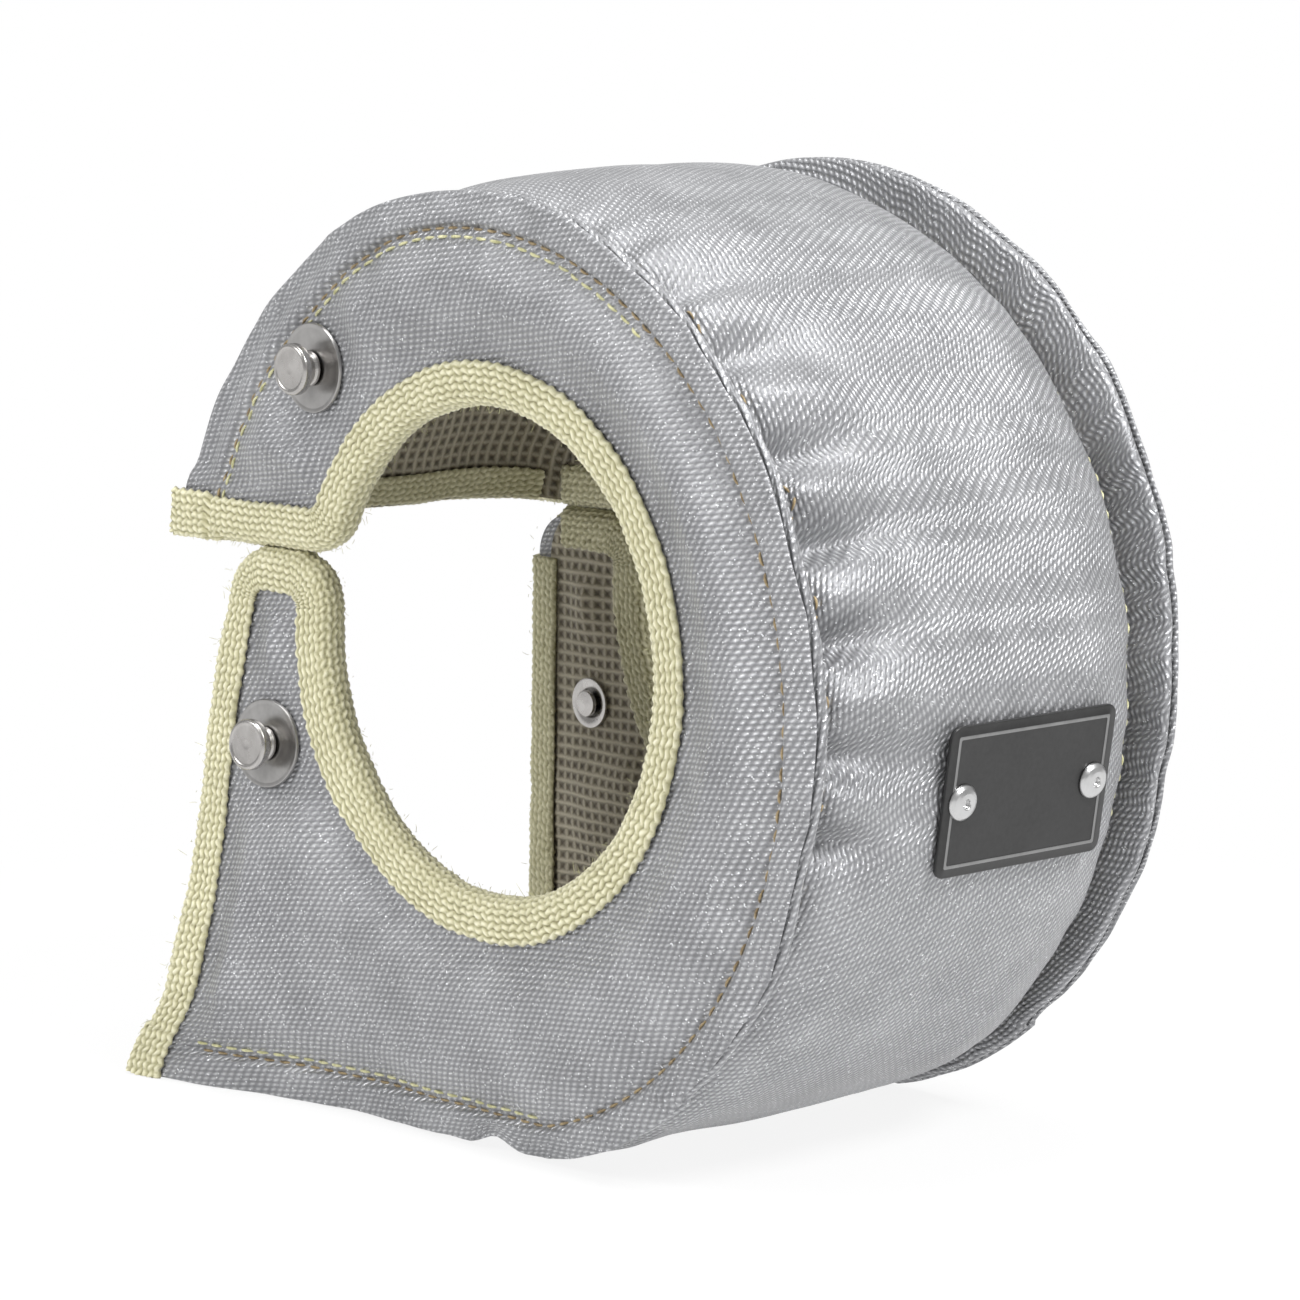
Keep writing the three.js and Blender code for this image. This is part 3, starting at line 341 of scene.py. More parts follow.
def panel_columns(panel):
    """Matched points on a panel's inner edge and on its flange's edge."""
    edge = bound_edge(panel)
    radius, floor = FLANGE, -AXIS_HEIGHT
    start = math.pi - math.asin((LIP_TOP + LAYER_INSET) / radius)
    shoulder, base = math.radians(150), float(base_angle(radius))
    base_start = np.array([radius * math.cos(base), floor])
    corner = np.array(free_at(panel, floor, LAYER_INSET))
    towards = bearing(panel["hole"], corner)
    end, normal = edge["free_edge"][0](0.0)
    rise = end + normal * LAYER_INSET
    upper, lower, outer_centre = corners(panel)
    left = math.atan2(-normal[1], -normal[0])
    inner_radius = panel["radius"] + LAYER_INSET

    def run(name):
        return lambda t: (lambda p, n: p + n * LAYER_INSET)(*edge[name][0](t))

    def hole(a, b):
        return lambda t: np.stack([
            panel["hole"][0] + inner_radius * np.cos(mix(a, b, t)),
            panel["hole"][1] + inner_radius * np.sin(mix(a, b, t))], -1)

    def rim(a, b):
        return lambda t: np.stack([radius * np.cos(mix(a, b, t)), radius * np.sin(mix(a, b, t))], -1)

    def straight(a, b):
        return lambda t: a + (b - a) * t[:, None]

    def turned(t):
        angle = mix(left, math.pi / 2, t)
        reach = CORNER - LAYER_INSET
        return np.stack([outer_centre[0] + reach * np.cos(angle),
                         outer_centre[1] + reach * np.sin(angle)], -1)

    hole_start = bearing(panel["hole"], upper)
    hole_end = bearing(panel["hole"], lower)
    hole_end -= 2 * math.pi if hole_end > 0 else 0
    stretches = [
        (14, run("upper_corner"), rim(start, shoulder)),
        (290, hole(hole_start, base), rim(shoulder, base)),
        (56, hole(base, towards), straight(base_start, corner)),
        (64, hole(towards, hole_end), straight(corner, rise)),
        (16, run("lower_corner"), turned),
    ]
    inner, outer = [], []
    for k, (count, a, b) in enumerate(stretches):
        t = np.linspace(0, 1, count + 1)[0 if k == 0 else 1:]
        inner.append(a(t))
        outer.append(b(t))
    return np.concatenate(inner), np.concatenate(outer)


def panel_pad(panel, materials):
    """One end panel: its cloth face, its flange's rolled lip and the lining behind."""
    inner, outer = panel_columns(panel)
    run = np.linalg.norm(outer - inner, axis=1)[:, None]
    way = (outer - inner) / run
    lip_radius = LIP / 2
    shares = np.concatenate([np.linspace(0, 0.80, 42, endpoint=False), np.linspace(0.80, 1, 26)])
    back_shares = np.concatenate([np.linspace(1, 0.76, 14), np.linspace(0.74, 0, 22)])
    turn = np.linspace(math.pi / 2, -math.pi / 2, 9)[1:-1]
    rows = []
    side = panel["side"]

    def flat(share, level):
        p = inner + way * (run - lip_radius) * share
        return np.stack([p[:, 0], side * panel_surfaces(panel, p[:, 0], p[:, 1])[level], p[:, 1]], -1)

    for share in shares:
        rows.append(flat(share, 0))
    face, back = rows[-1], flat(1.0, 1)
    middle, half = (face + back) / 2, np.abs(face - back)[:, 1] / 2
    for a in turn:
        p = middle.copy()
        p[:, 0] += way[:, 0] * lip_radius * math.cos(a)
        p[:, 2] += way[:, 1] * lip_radius * math.cos(a)
        p[:, 1] += side * half * math.sin(a)
        rows.append(p)
    for share in back_shares:
        rows.append(flat(share, 1))
    raw = np.stack(rows, 1)
    uv = np.stack([raw[..., 0], raw[..., 2]], -1)
    piece = closed_sheet(panel["name"] + "_panel", settle(raw), len(shares) + len(turn) + 6, uv, materials)
    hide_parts(*(f"{panel['name']}_{layer}" for layer in ("cover", "insulation", "lining")))
    return piece


PROFILE_Y = [-49.5, -45.0, -37.5, -22.5, 4.0, 32.5, 44.0, 49.5]
PROFILE_R = [96.5, 100.91, 104.27, 106.48, 107.0, 105.11, 99.71, 93.5]


def eased(y, ys, rs):
    """A smooth line through the points of a profile."""
    ys, rs = np.array(ys), np.array(rs)
    slope = np.gradient(rs, ys)
    k = np.clip(np.searchsorted(ys, y, side="right") - 1, 0, len(ys) - 2)
    h = ys[k + 1] - ys[k]
    t = (y - ys[k]) / h
    a, b = (1 + 2 * t) * (1 - t) ** 2, t * (1 - t) ** 2
    c, d = t * t * (3 - 2 * t), t * t * (t - 1)
    return a * rs[k] + b * h * slope[k] + c * rs[k + 1] + d * h * slope[k + 1]


def gather_dip(degrees, y):
    """Depth of the gathers' folds, with a low ridge at each side."""
    behind = y + LIP_BACK
    dip = np.zeros(np.broadcast_shapes(degrees.shape, y.shape))
    for centre, depth in GATHERS:
        reach = smooth(behind / 4) * (1 - smooth((behind - 6) / (16 + 4 * depth)))
        lean = centre + 0.13 * behind * math.sin(3 * centre)
        away = np.abs(degrees - lean) / (3.4 + 0.10 * behind)
        fold = (1 - smooth(away)) - 0.32 * np.exp(-((away - 1.55) / 0.5) ** 2)
        dip = dip + reach * 1.15 * depth * fold
    return dip


def band_point(angle, flat, radius, y, crown):
    """A point of the band; flat is the share of the flat base towards the mouth, or below 0."""
    on_base = flat >= 0
    base = base_angle(radius)
    angle = np.where(on_base, base, np.maximum(angle, base))
    towards = smooth((-45 - np.degrees(angle)) / 25)
    under = np.where(on_base, smooth((flat - 0.75) / 0.12) * 1.6, 0)
    r = radius - np.maximum(0, crown - FLANGE + 0.5 + under) * towards
    foot = mix(r * np.cos(base), MOUTH_FOOT + LAYER_INSET, np.maximum(flat, 0))
    x = np.where(on_base, foot, r * np.cos(angle))
    z = np.where(on_base, BASE_CUT - r, r * np.sin(angle))
    return np.stack([x, np.broadcast_to(y, x.shape), z], -1)


def mouth_angle(inset):
    return math.pi - math.asin(LIP_TOP / MOUTH_RADIUS) - np.asarray(inset) / FLANGE


def band_columns():
    start, base = float(mouth_angle(LAYER_INSET)), float(base_angle(FLANGE))
    angles = np.linspace(start, base, 400)
    flats = np.linspace(0, 1, 86)[1:]
    angle = np.concatenate([angles, np.full(len(flats), base)])
    flat = np.concatenate([np.full(len(angles), -1.0), flats])
    return angle[:, None], flat[:, None]


def band_relief(degrees, flat, y):
    """Puckers by the seams, and the soft folds of the padded cloth."""
    around = np.where(flat >= 0, -78 * FLANGE / 57.3 - 100 * flat, np.radians(degrees) * FLANGE)
    front, rear = y + LIP_BACK, LIP_BACK - y

    def edge(d, reach):
        return smooth(d / 2) * np.exp(-np.maximum(d, 0) / reach)

    relief = edge(front, 8) * (2.0 * noise(around, front * 0.2, 6, 41) + 0.7 * noise(around, front, 12, 42))
    relief += edge(rear, 7) * (1.2 * noise(around, rear * 0.2, 6.5, 43) + 0.6 * noise(around, rear, 13, 44))
    middle = smooth(front / 14) * smooth(rear / 14)
    relief += middle * (0.6 * noise(around, y, 30, 45) + 0.3 * noise(around + 0.5 * y, y, 13, 46))
    plate = smooth((np.abs(degrees - math.degrees(PLATE_ANGLE)) - 10.5) / 4)
    plate = np.maximum(plate, smooth((np.abs(y - PLATE_Y) - 26) / 6))
    return relief * plate * np.where(flat >= 0, 0.35, 1)


def band_pad(materials):
    """The band between the end panels, with a rolled lip at each seam and its lining inside."""
    angle, flat = band_columns()
    degrees = np.degrees(angle)
    points = []

    def add(radius, y, crown):
        points.append(band_point(angle, flat, radius, np.float64(y), crown)[:, 0])

    def crown_at(radius):
        return FLANGE if radius > 100 else 96

    half = LIP / 2
    tip = FLANGE - half
    middle = -(LIP_BACK + half - 0.15)
    for r in np.linspace(95.3, tip, 6):
        add(r, middle - half, crown_at(r))
    for a in np.linspace(math.pi / 2, -math.pi / 2, 9)[1:-1]:
        add(tip + half * math.cos(a), middle - half * math.sin(a), FLANGE)
    for r in np.linspace(tip, 96.6, 6):
        add(r, middle + half, crown_at(r))
    ys = [np.linspace(-49.2, -36, 18), np.linspace(-34.8, 34.8, 60), np.linspace(36, 49.2, 16)]
    for y in np.concatenate(ys):
        r = eased(y, PROFILE_Y, PROFILE_R)
        dip = gather_dip(degrees, y) * np.where(flat >= 0, 0, 1)
        add(r - dip + band_relief(degrees, flat, y), y, r)
    turn = np.linspace(-math.pi / 2, math.pi / 2, 9)[1:-1]
    for r in np.linspace(93.6, tip, 6):
        add(r, LIP_BACK, crown_at(r))
    for a in turn:
        add(tip + half * math.cos(a), LIP_BACK + half + half * math.sin(a), FLANGE)
    for r in np.linspace(tip, 92.3, 6):
        add(r, BAND_END, crown_at(r))
    lining_from = len(points)
    for y in np.linspace(51.0, -51.0, 44):
        share = np.clip((y + 48) / 96, 0, 1)
        pad = mix(EDGE_MAT, MIDDLE_MAT, math.sin(math.pi * share) ** 0.5 if 0 < share < 1 else 0)
        out = eased(np.clip(y, -49.5, 49.5), PROFILE_Y, PROFILE_R)
        rough = 0.5 * noise(angle * FLANGE, y, 10, 51) * smooth((48 - abs(y)) / 8)
        add(out - COVER - 2 * LAYER_GAP - pad - LINING - rough, y, out)
    raw = np.stack(points, 1)
    around = np.where(flat >= 0, angle * FLANGE - 100 * np.maximum(flat, 0), angle * FLANGE)
    steps = np.linalg.norm(np.diff(raw, axis=1), axis=2)
    across = np.concatenate([np.zeros((len(raw), 1)), np.cumsum(steps, axis=1)], axis=1)
    uv = np.stack([np.broadcast_to(around, raw.shape[:2]), across], -1)
    piece = closed_sheet("band", settle(raw), lining_from, uv, materials)
    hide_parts("band_cover", "band_insulation", "band_lining")
    return piece


def weave_height(along, across, seed):
    """Height of the tape's plaited yarns, from 0 in a gap to 1 on a yarn."""
    across = across + 0.16 * noise(along, across, 5, seed)
    row = np.floor(across / ROW_PITCH)
    u = across / ROW_PITCH - row
    lean = np.where(row % 2 == 0, u, -u) * 0.55
    v = along / YARN_PITCH + lean + 0.37 * row + 0.18 * noise(along, row * 7, 4, seed + 1)
    yarn = np.abs(np.sin(math.pi * v)) ** 0.7
    cord = np.sin(math.pi * np.clip(u, 0, 1)) ** 0.55
    return cord * (0.35 + 0.65 * yarn) * (0.9 + 0.1 * noise(along, across, 1.1, seed + 2))


def tape_piece(name, node, stations, section, mapper, materials, seed):
    """Woven tape folded over an edge. section gives width, top and bottom at each station."""
    width, back_width, top, bottom = section
    fold = np.minimum(3.4, (top - bottom) / 2)
    length = np.asarray(stations)
    outer_rows = []
    leaf = np.linspace(1, 0, 27)
    bend = np.linspace(0, math.pi, 27)[1:-1]
    middle, half = (top + bottom) / 2, (top - bottom) / 2
    wavy = 0.28 * np.sin(2 * math.pi * length / 2.9) + 0.35 * noise(length, 0 * length, 9, seed)
    for t in leaf:
        inset = fold + (width + wavy - fold) * t
        sag = 0.5 * smooth((t - 0.86) / 0.14)
        outer_rows.append((inset, top - sag, np.zeros_like(length), np.ones_like(length)))
    for a in bend:
        c, s = math.cos(a), math.sin(a)
        outer_rows.append((fold * (1 - s), middle + half * c, -s + 0 * length, c + 0 * length))
    for t in np.linspace(0, 1, 15):
        inset = fold + np.maximum(back_width + wavy - fold, 0.1) * t
        sag = 0.5 * smooth((t - 0.86) / 0.14)
        outer_rows.append((inset, bottom + sag, np.zeros_like(length), -np.ones_like(length)))
    inset, level, nx, ny = (np.stack([row[k] for row in outer_rows], 1) for k in range(4))
    step = np.hypot(np.diff(inset, axis=1), np.diff(level, axis=1))
    across = np.concatenate([np.zeros((len(length), 1)), np.cumsum(step, 1)], 1)
    height = weave_height(length[:, None], across, seed)
    lump = 0.22 * noise(length[:, None], across, 7, seed + 5)
    rise = 0.95 * (height - 0.75) + lump
    inset_out, level_out = inset + nx * rise, level + ny * rise
    pocket = np.full_like(top, 1.6)
    inner = [(np.maximum(back_width, 1.2) - 0.3, bottom + TAPE), (pocket, bottom + TAPE),
             (pocket, top - TAPE), (width - 0.3, top - TAPE)]
    inset_all = np.concatenate([inset_out] + [p[0][:, None] for p in inner], 1)
    level_all = np.concatenate([level_out] + [p[1][:, None] for p in inner], 1)
    # The weave's height is kept for the tape material, which paints shade in the gaps and highlight on the
    # yarn tops from it.
    shade = np.concatenate([height, np.zeros((len(length), len(inner)))], 1)
    grid = mapper(inset_all, level_all)
    columns, rows = grid.shape[:2]
    uv = np.stack([np.broadcast_to(length[:, None], (columns, rows)),
                   np.concatenate([across, np.zeros((columns, len(inner)))], 1)], -1)
    faces = loop_faces(columns, rows).tolist() + end_caps(columns, rows)
    piece = mesh_object(name, grid.reshape(-1, 3), faces, materials, uv.reshape(-1, 2), None, shade.ravel())
    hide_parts(node)
    return piece


def panel_path(panel, spacing):
    """Stations along a panel's bound edge: points, normals and distance."""
    points, normals, at, done = [], [], [], 0.0
    for run, length in bound_edge(panel).values():
        count = max(2, int(round(length / spacing)))
        t = (np.arange(count) + 0.5) / count
        p, n = run(t)
        points.append(p)
        normals.append(n)
        at.append(done + t * length)
        done += length
    return np.concatenate(points), np.concatenate(normals), np.concatenate(at)


def panel_tape(panel, materials):
    """The folded tape round a panel's lips, hole and free edge."""
    spacing = 0.42 if panel["side"] < 0 else 0.5
    base, normal, length = panel_path(panel, spacing)
    level = HALF_WIDTH - SEAM_DIP
    stack = COVER + 2 * LAYER_GAP + EDGE_PAD + LINING
    x, z = base[:, 0], base[:, 1]
    above, below = np.where(z > 10, np.hypot(x, z + TAPE_WIDTH), 0), np.where(z < -60, -z + BASE_CUT, 0)
    reach = np.maximum(above, below)
    past = smooth((reach - 90.4) / 1.2)
    tab = smooth((13.0 - length) / 0.6)
    groove = np.exp(-((length - 13.2) / 0.6) ** 2)
    top = level + 0.4 + TAPE + 0.7 * tab - 0.7 * groove
    bottom = mix(level - stack - 0.4 - TAPE, HALF_WIDTH - LIP + 0.15, past)
    back_width = mix(TAPE_WIDTH, 1.0, past)
    width = TAPE_WIDTH + 0.9 * tab
    side = panel["side"]

    meet = 0.5 * smooth((-48 - x) / 6) * (np.abs(z - SLIT) < 0.7)

    def mapper(inset, high):
        inset = inset - meet[:, None]
        p = base[:, None, :] + normal[:, None, :] * inset[..., None]
        return settle(np.stack([p[..., 0], side * high, p[..., 1]], -1))

    return tape_piece(panel["name"] + "_tape", panel["name"] + "_binding", length,
                      (width, back_width, top, bottom), mapper, materials, panel["seed"] + 60)


def mouth_tape(name, node, upper, materials):
    """The folded tape on one end of the band."""
    y = np.arange(-44.6, 44.2, 0.45)
    crown = eased(y, PROFILE_Y, PROFILE_R)
    share = np.clip((y + 49.5) / 99, 0, 1)
    pad = mix(EDGE_MAT, MIDDLE_MAT, np.sin(math.pi * share) ** 0.5)
    stack = COVER + 2 * LAYER_GAP + pad + LINING
    top, bottom = crown + 0.4 + TAPE, crown - stack - 0.8 - TAPE
    width = TAPE_WIDTH + 0 * y

    def mapper(inset, radius):
        rows = np.broadcast_to(y[:, None], inset.shape)
        if upper:
            angle = mouth_angle(inset)
            return settle(np.stack([radius * np.cos(angle), rows, radius * np.sin(angle)], -1))
        drop = np.maximum(0, crown - FLANGE + 0.5 + TAPE + 0.4)[:, None]
        return settle(np.stack([MOUTH_FOOT + inset, rows, BASE_CUT - radius + drop], -1))

    return tape_piece(name, node, y - y[0], (width, width, top, bottom), mapper, materials, 81 + upper)


def lathe(name, profile, matrix, materials, segments=64):
    """A turned piece about its own Y axis, set in the drum frame by matrix. profile is (radius, height)."""
    turn = np.linspace(0, 2 * math.pi, segments, endpoint=False)
    profile = np.array(profile, float)
    rings = np.stack([
        profile[None, :, 0] * np.cos(turn)[:, None],
        np.broadcast_to(profile[None, :, 1], (segments, len(profile))),
        profile[None, :, 0] * np.sin(turn)[:, None]], -1)
    rows = len(profile)
    local = np.concatenate([rings.reshape(-1, 3), np.ones((segments * rows, 1))], 1)
    placed = (np.array(matrix) @ local.T).T[:, :3]
    faces = []
    for i in range(segments):
        k = (i + 1) % segments
        for j in range(rows - 1):
            faces.append([i * rows + j, i * rows + j + 1, k * rows + j + 1, k * rows + j])
    return mesh_object(name, placed, faces, materials, local[:, [0, 2]])


def rounded(corners_list, radius=0.25, steps=4):
    """A profile with its inner corners eased."""
    out = [corners_list[0]]
    for a, b, c in zip(corners_list, corners_list[1:], corners_list[2:]):
        a, b, c = np.array(a, float), np.array(b, float), np.array(c, float)
        ra = min(radius, 0.45 * np.linalg.norm(a - b))
        rc = min(radius, 0.45 * np.linalg.norm(c - b))
        start = b + (a - b) / np.linalg.norm(a - b) * ra
        end = b + (c - b) / np.linalg.norm(c - b) * rc
        for t in np.linspace(0, 1, steps):
            out.append(tuple((1 - t) ** 2 * start + 2 * t * (1 - t) * b + t * t * end))
    out.append(corners_list[-1])
    return out


def weld(piece):
    """Joins a turned piece's seams and its points on the axis."""
    work = bmesh.new()
    work.from_mesh(piece.data)
    bmesh.ops.remove_doubles(work, verts=work.verts, dist=1e-6)
    bmesh.ops.recalc_face_normals(work, faces=work.faces)
    work.to_mesh(piece.data)
    work.free()
    return piece


def settled_frame(side, x, z):
    """A frame on a panel at (x, z): Y out of the panel."""
    def at(px, pz):
        return settle_cad(np.array([px, side * HALF_WIDTH, pz]))

    origin, across, up = at(x, z), at(x + 1, z), at(x, z + 1)
    across, up = across - origin, up - origin
    out = np.cross(up, across)
    out /= np.linalg.norm(out)
    if out[1] * side < 0:
        out = -out
    turn = Vector((0, 1, 0)).rotation_difference(Vector(out)).to_matrix().to_4x4()
    return Matrix.Translation(Vector(origin)) @ turn


def settle_cad(p):
    """The front corner's flare and tuck alone, as the anchors follow them."""
    x, y, z = p
    flare, tuck = corner_set(x, y, z)
    return np.array([x - FLARE_SPREAD * flare + tuck, y - flare, z])


def anchors(panel, steel, washer_steel):
    """Capstan stud and washers of each lacing anchor."""
    for level, (x, z) in zip(("upper", "lower"), panel["anchors"]):
        place = settled_frame(panel["side"], x, z)
        node = f"{panel['name']}_{level}_anchor"
        seat = -SEAM_DIP + SEAT_GAP
        top = seat + WASHER
        collar = top + SEAT_GAP
        head = collar + COLLAR_HEIGHT
        tip = head + HEAD_HEIGHT
        back = -SEAM_DIP - COVER - 2 * LAYER_GAP - EDGE_PAD - LINING
        inner = back - SEAT_GAP - WASHER
        tail = inner - SEAT_GAP
        washer = weld(lathe(node + "_disc", rounded([
            (2.4, seat), (9.9, seat), (10.0, seat + 0.3), (9.75, top), (8.9, top - 0.12), (2.4, top - 0.12),
            (2.4, seat)], 0.12), place, [washer_steel], 96))
        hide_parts(node + "_washer")
        capstan = weld(lathe(node + "_stud", rounded([
            (0.0, tail - 1), (3.1, tail - 1), (3.2, tail), (2.0, tail),
            (2.0, collar), (3.9, collar), (3.9, collar + 0.7), (3.5, collar + 1.1), (3.5, head - 0.5),
            (4.6, head),
            (5.55, head + 0.25), (5.7, head + 0.6), (5.7, tip - 0.55), (5.25, tip - 0.05), (4.7, tip - 0.05),
            (4.45, tip - 0.25), (1.1, tip - 0.22), (0.0, tip - 0.3)], 0.22), place, [steel], 96))
        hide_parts(node + "_capstan")
        keeper = weld(lathe(node + "_keeper", rounded([
            (2.4, inner), (6.0, inner), (6.0, inner + WASHER), (2.4, inner + WASHER), (2.4, inner)], 0.12),
            place, [steel], 64))
        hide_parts(node + "_retaining_washer")


def plate_frame():
    """A frame on the band under the plate's middle: Y out of the band."""
    out = Vector((math.cos(PLATE_ANGLE), 0, math.sin(PLATE_ANGLE)))
    along = Vector((0, 1, 0))
    place = out * (CROWN + SEAT_GAP)
    place.y = PLATE_Y
    basis = Matrix((along, out, along.cross(out))).transposed().to_4x4()
    return Matrix.Translation(place) @ basis


def rounded_outline(width, height, radius, steps=10):
    """Points round a rectangle with eased corners."""
    points = []
    for k, (sx, sz) in enumerate([(1, 1), (-1, 1), (-1, -1), (1, -1)]):
        for t in np.linspace(0, math.pi / 2, steps):
            a = t + k * math.pi / 2
            points.append((sx * (width / 2 - radius) + radius * math.cos(a),
                           sz * (height / 2 - radius) + radius * math.sin(a)))
    return np.array(points)


def plate(materials, rivet_steel):
    """A bare plate with an eased rim and a plain raised border, held by two blind rivets."""
    length, height, thick = PLATE
    rings = [(0.0, 0.0), (0.0, thick - 0.25), (0.08, thick - 0.08), (0.28, thick), (1.9, thick),
             (2.0, thick + 0.1), (2.7, thick + 0.1), (2.8, thick)]
    outline = []
    for inset, level in rings:
        ring = rounded_outline(length - 2 * inset, height - 2 * inset, max(2.5 - inset, 0.4))
        outline.append(np.stack([ring[:, 0], np.full(len(ring), level), ring[:, 1]], -1))
    grid = np.stack(outline, 1)
    columns, rows = grid.shape[:2]
    local = np.concatenate([grid.reshape(-1, 3), np.ones((columns * rows, 1))], 1)
    faces = []
    for i in range(columns):
        k = (i + 1) % columns
        for j in range(rows - 1):
            faces.append([i * rows + j, k * rows + j, k * rows + j + 1, i * rows + j + 1])
    index = [1 if face % (rows - 1) == 5 else 0 for face in range(len(faces))]
    faces += [[i * rows for i in range(columns)], [i * rows + rows - 1 for i in range(columns)][::-1]]
    placed = (np.array(plate_frame()) @ local.T).T[:, :3]
    piece = weld(mesh_object("plate", placed, faces, materials, local[:, [0, 2]], index + [0, 0]))
    for face in piece.data.polygons:
        face.use_smooth = len(face.vertices) < 10
    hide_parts("name_plate")
    seat = thick + 0.05
    tail = -COVER - 2 * SEAT_GAP - 1.4
    for name, end in (("front", -1), ("rear", 1)):
        place = plate_frame() @ Matrix.Translation((end * RIVET_SPACING / 2, 0, 0))
        head = [(0.0, tail - 1.6), (2.9, tail - 1.6), (2.9, tail), (1.9, tail), (1.9, seat), (3.85, seat),
                (3.9, seat + 0.25), (3.72, seat + 0.7), (3.1, seat + 1.25), (2.2, seat + 1.6),
                (1.25, seat + 1.72), (1.0, seat + 1.5), (0.95, seat + 0.8), (0.5, seat + 0.95),
                (0.0, seat + 1.0)]
        rivet = weld(lathe(f"plate_{name}_rivet", rounded(head, 0.15), place, [rivet_steel], 48))
        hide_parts(f"name_plate_{name}_rivet")


def threads(name, paths, radius, material):
    """Stitches as short threads: each path is a row of points, tapering into the cloth at its ends."""
    points, faces = [], []
    ring = np.linspace(0, 2 * math.pi, 7)[:-1]
    for path in paths:
        path = np.asarray(path)
        ahead = np.gradient(path, axis=0)
        ahead /= np.linalg.norm(ahead, axis=1)[:, None]
        side = np.cross(ahead, [0.31, 0.52, 0.79])
        side /= np.linalg.norm(side, axis=1)[:, None]
        up = np.cross(ahead, side)
        first = len(points)
        count = len(path)
        for i in range(count):
            r = radius * (0.55 + 0.45 * math.sin(math.pi * i / (count - 1)))
            for a in ring:
                points.append(path[i] + r * (math.cos(a) * side[i] + math.sin(a) * up[i]))
        for i in range(count - 1):
            for j in range(6):
                a, b = first + i * 6 + j, first + i * 6 + (j + 1) % 6
                faces.append([a, b, b + 6, a + 6])
        faces.append([first + j for j in range(6)][::-1])
        faces.append([first + (count - 1) * 6 + j for j in range(6)])
    piece = mesh_object(name, np.array(points), faces, [material])
    return piece


def stitch_paths(line, out, length, pitch, lift=0.3, sink=0.35, skew=0.0):
    """Stitches along a line of points; out gives the way out of the cloth at each."""
    step = np.linalg.norm(np.diff(line, axis=0), axis=1)
    at = np.concatenate([[0], np.cumsum(step)])
    paths = []
    for start in np.arange(1.0, at[-1] - length, pitch):
        start += 0.25 * (hashed(int(start * 10), 3, 7) - 0.5)
        s = np.linspace(start, start + length, 6)
        p = np.stack([np.interp(s, at, line[:, k]) for k in range(3)], -1)
        n = np.stack([np.interp(s, at, out[:, k]) for k in range(3)], -1)
        n /= np.linalg.norm(n, axis=1)[:, None]
        t = np.linspace(0, 1, 6)
        cross = np.cross(np.gradient(p, axis=0), n)
        cross /= np.linalg.norm(cross, axis=1)[:, None]
        rise = -sink + (sink + lift) * np.sin(math.pi * t) ** 0.6
        p = p + n * rise[:, None] + cross * (skew * (t - 0.5))[:, None]
        paths.append(p)
    return paths


def rim_line(panel, inset, start=163.0, corner=0.82):
    """Points on a panel's face along its seam, at an inset from the flange's edge."""
    radius = FLANGE - inset
    base = float(base_angle(radius))
    angle = np.linspace(math.radians(start), base, 520)
    x, z = radius * np.cos(angle), radius * np.sin(angle)
    x = np.concatenate([x, np.linspace(x[-1], -99 * corner, 110)])
    z = np.concatenate([z, np.full(110, z[-1])])
    wider = flange_width(panel, x, z) - panel["flange"]
    size = np.hypot(x, z)
    x, z = x * (1 - wider / size), z * (1 - wider / size)
    face = panel_surfaces(panel, x, z)[0]
    line = settle(np.stack([x, panel["side"] * face, z], -1))
    return line, np.tile([0.0, panel["side"], 0.0], (len(line), 1))


def seam_stitches(tan, pale):
    """The rows of stitching along both seams, on the panels and on the band."""
    front, out = rim_line(FRONT, FRONT["flange"] + 0.8)
    threads("front_seam_stitches", stitch_paths(front, out, 3.3, 4.3), 0.34, tan)
    second, out = rim_line(FRONT, FRONT["flange"] + 2.6)
    threads("front_seam_second_row", stitch_paths(second[:240], out[:240], 3.4, 4.3), 0.36, pale)
    low = slice(520, None)
    threads("front_base_second_row", stitch_paths(second[low], out[low], 3.4, 4.3), 0.36, pale)
    rear, out = rim_line(REAR, REAR["flange"] + 0.8, 160)
    threads("rear_seam_stitches", stitch_paths(rear, out, 3.3, 4.3), 0.34, tan)
    rows = (("front", -46.9, 0.4, tan), ("rear", 46.6, 1.0, pale), ("rear_outer", 48.1, -1.0, tan))
    for name, y, skew, shade in rows:
        degrees = np.linspace(160, -78, 620)
        y = np.float64(y)
        r = eased(y, PROFILE_Y, PROFILE_R) - gather_dip(degrees, y) + band_relief(degrees, -np.ones(620), y)
        angle = np.radians(degrees)
        line = settle(band_point(angle, -np.ones(620), r, y, r))
        lean = -0.75 if y < 0 else 0.85
        way = np.stack([np.cos(angle), np.full(620, lean), np.sin(angle)], -1)
        threads(f"band_{name}_stitches", stitch_paths(line, way, 3.0, 4.1, skew=skew), 0.33, shade)


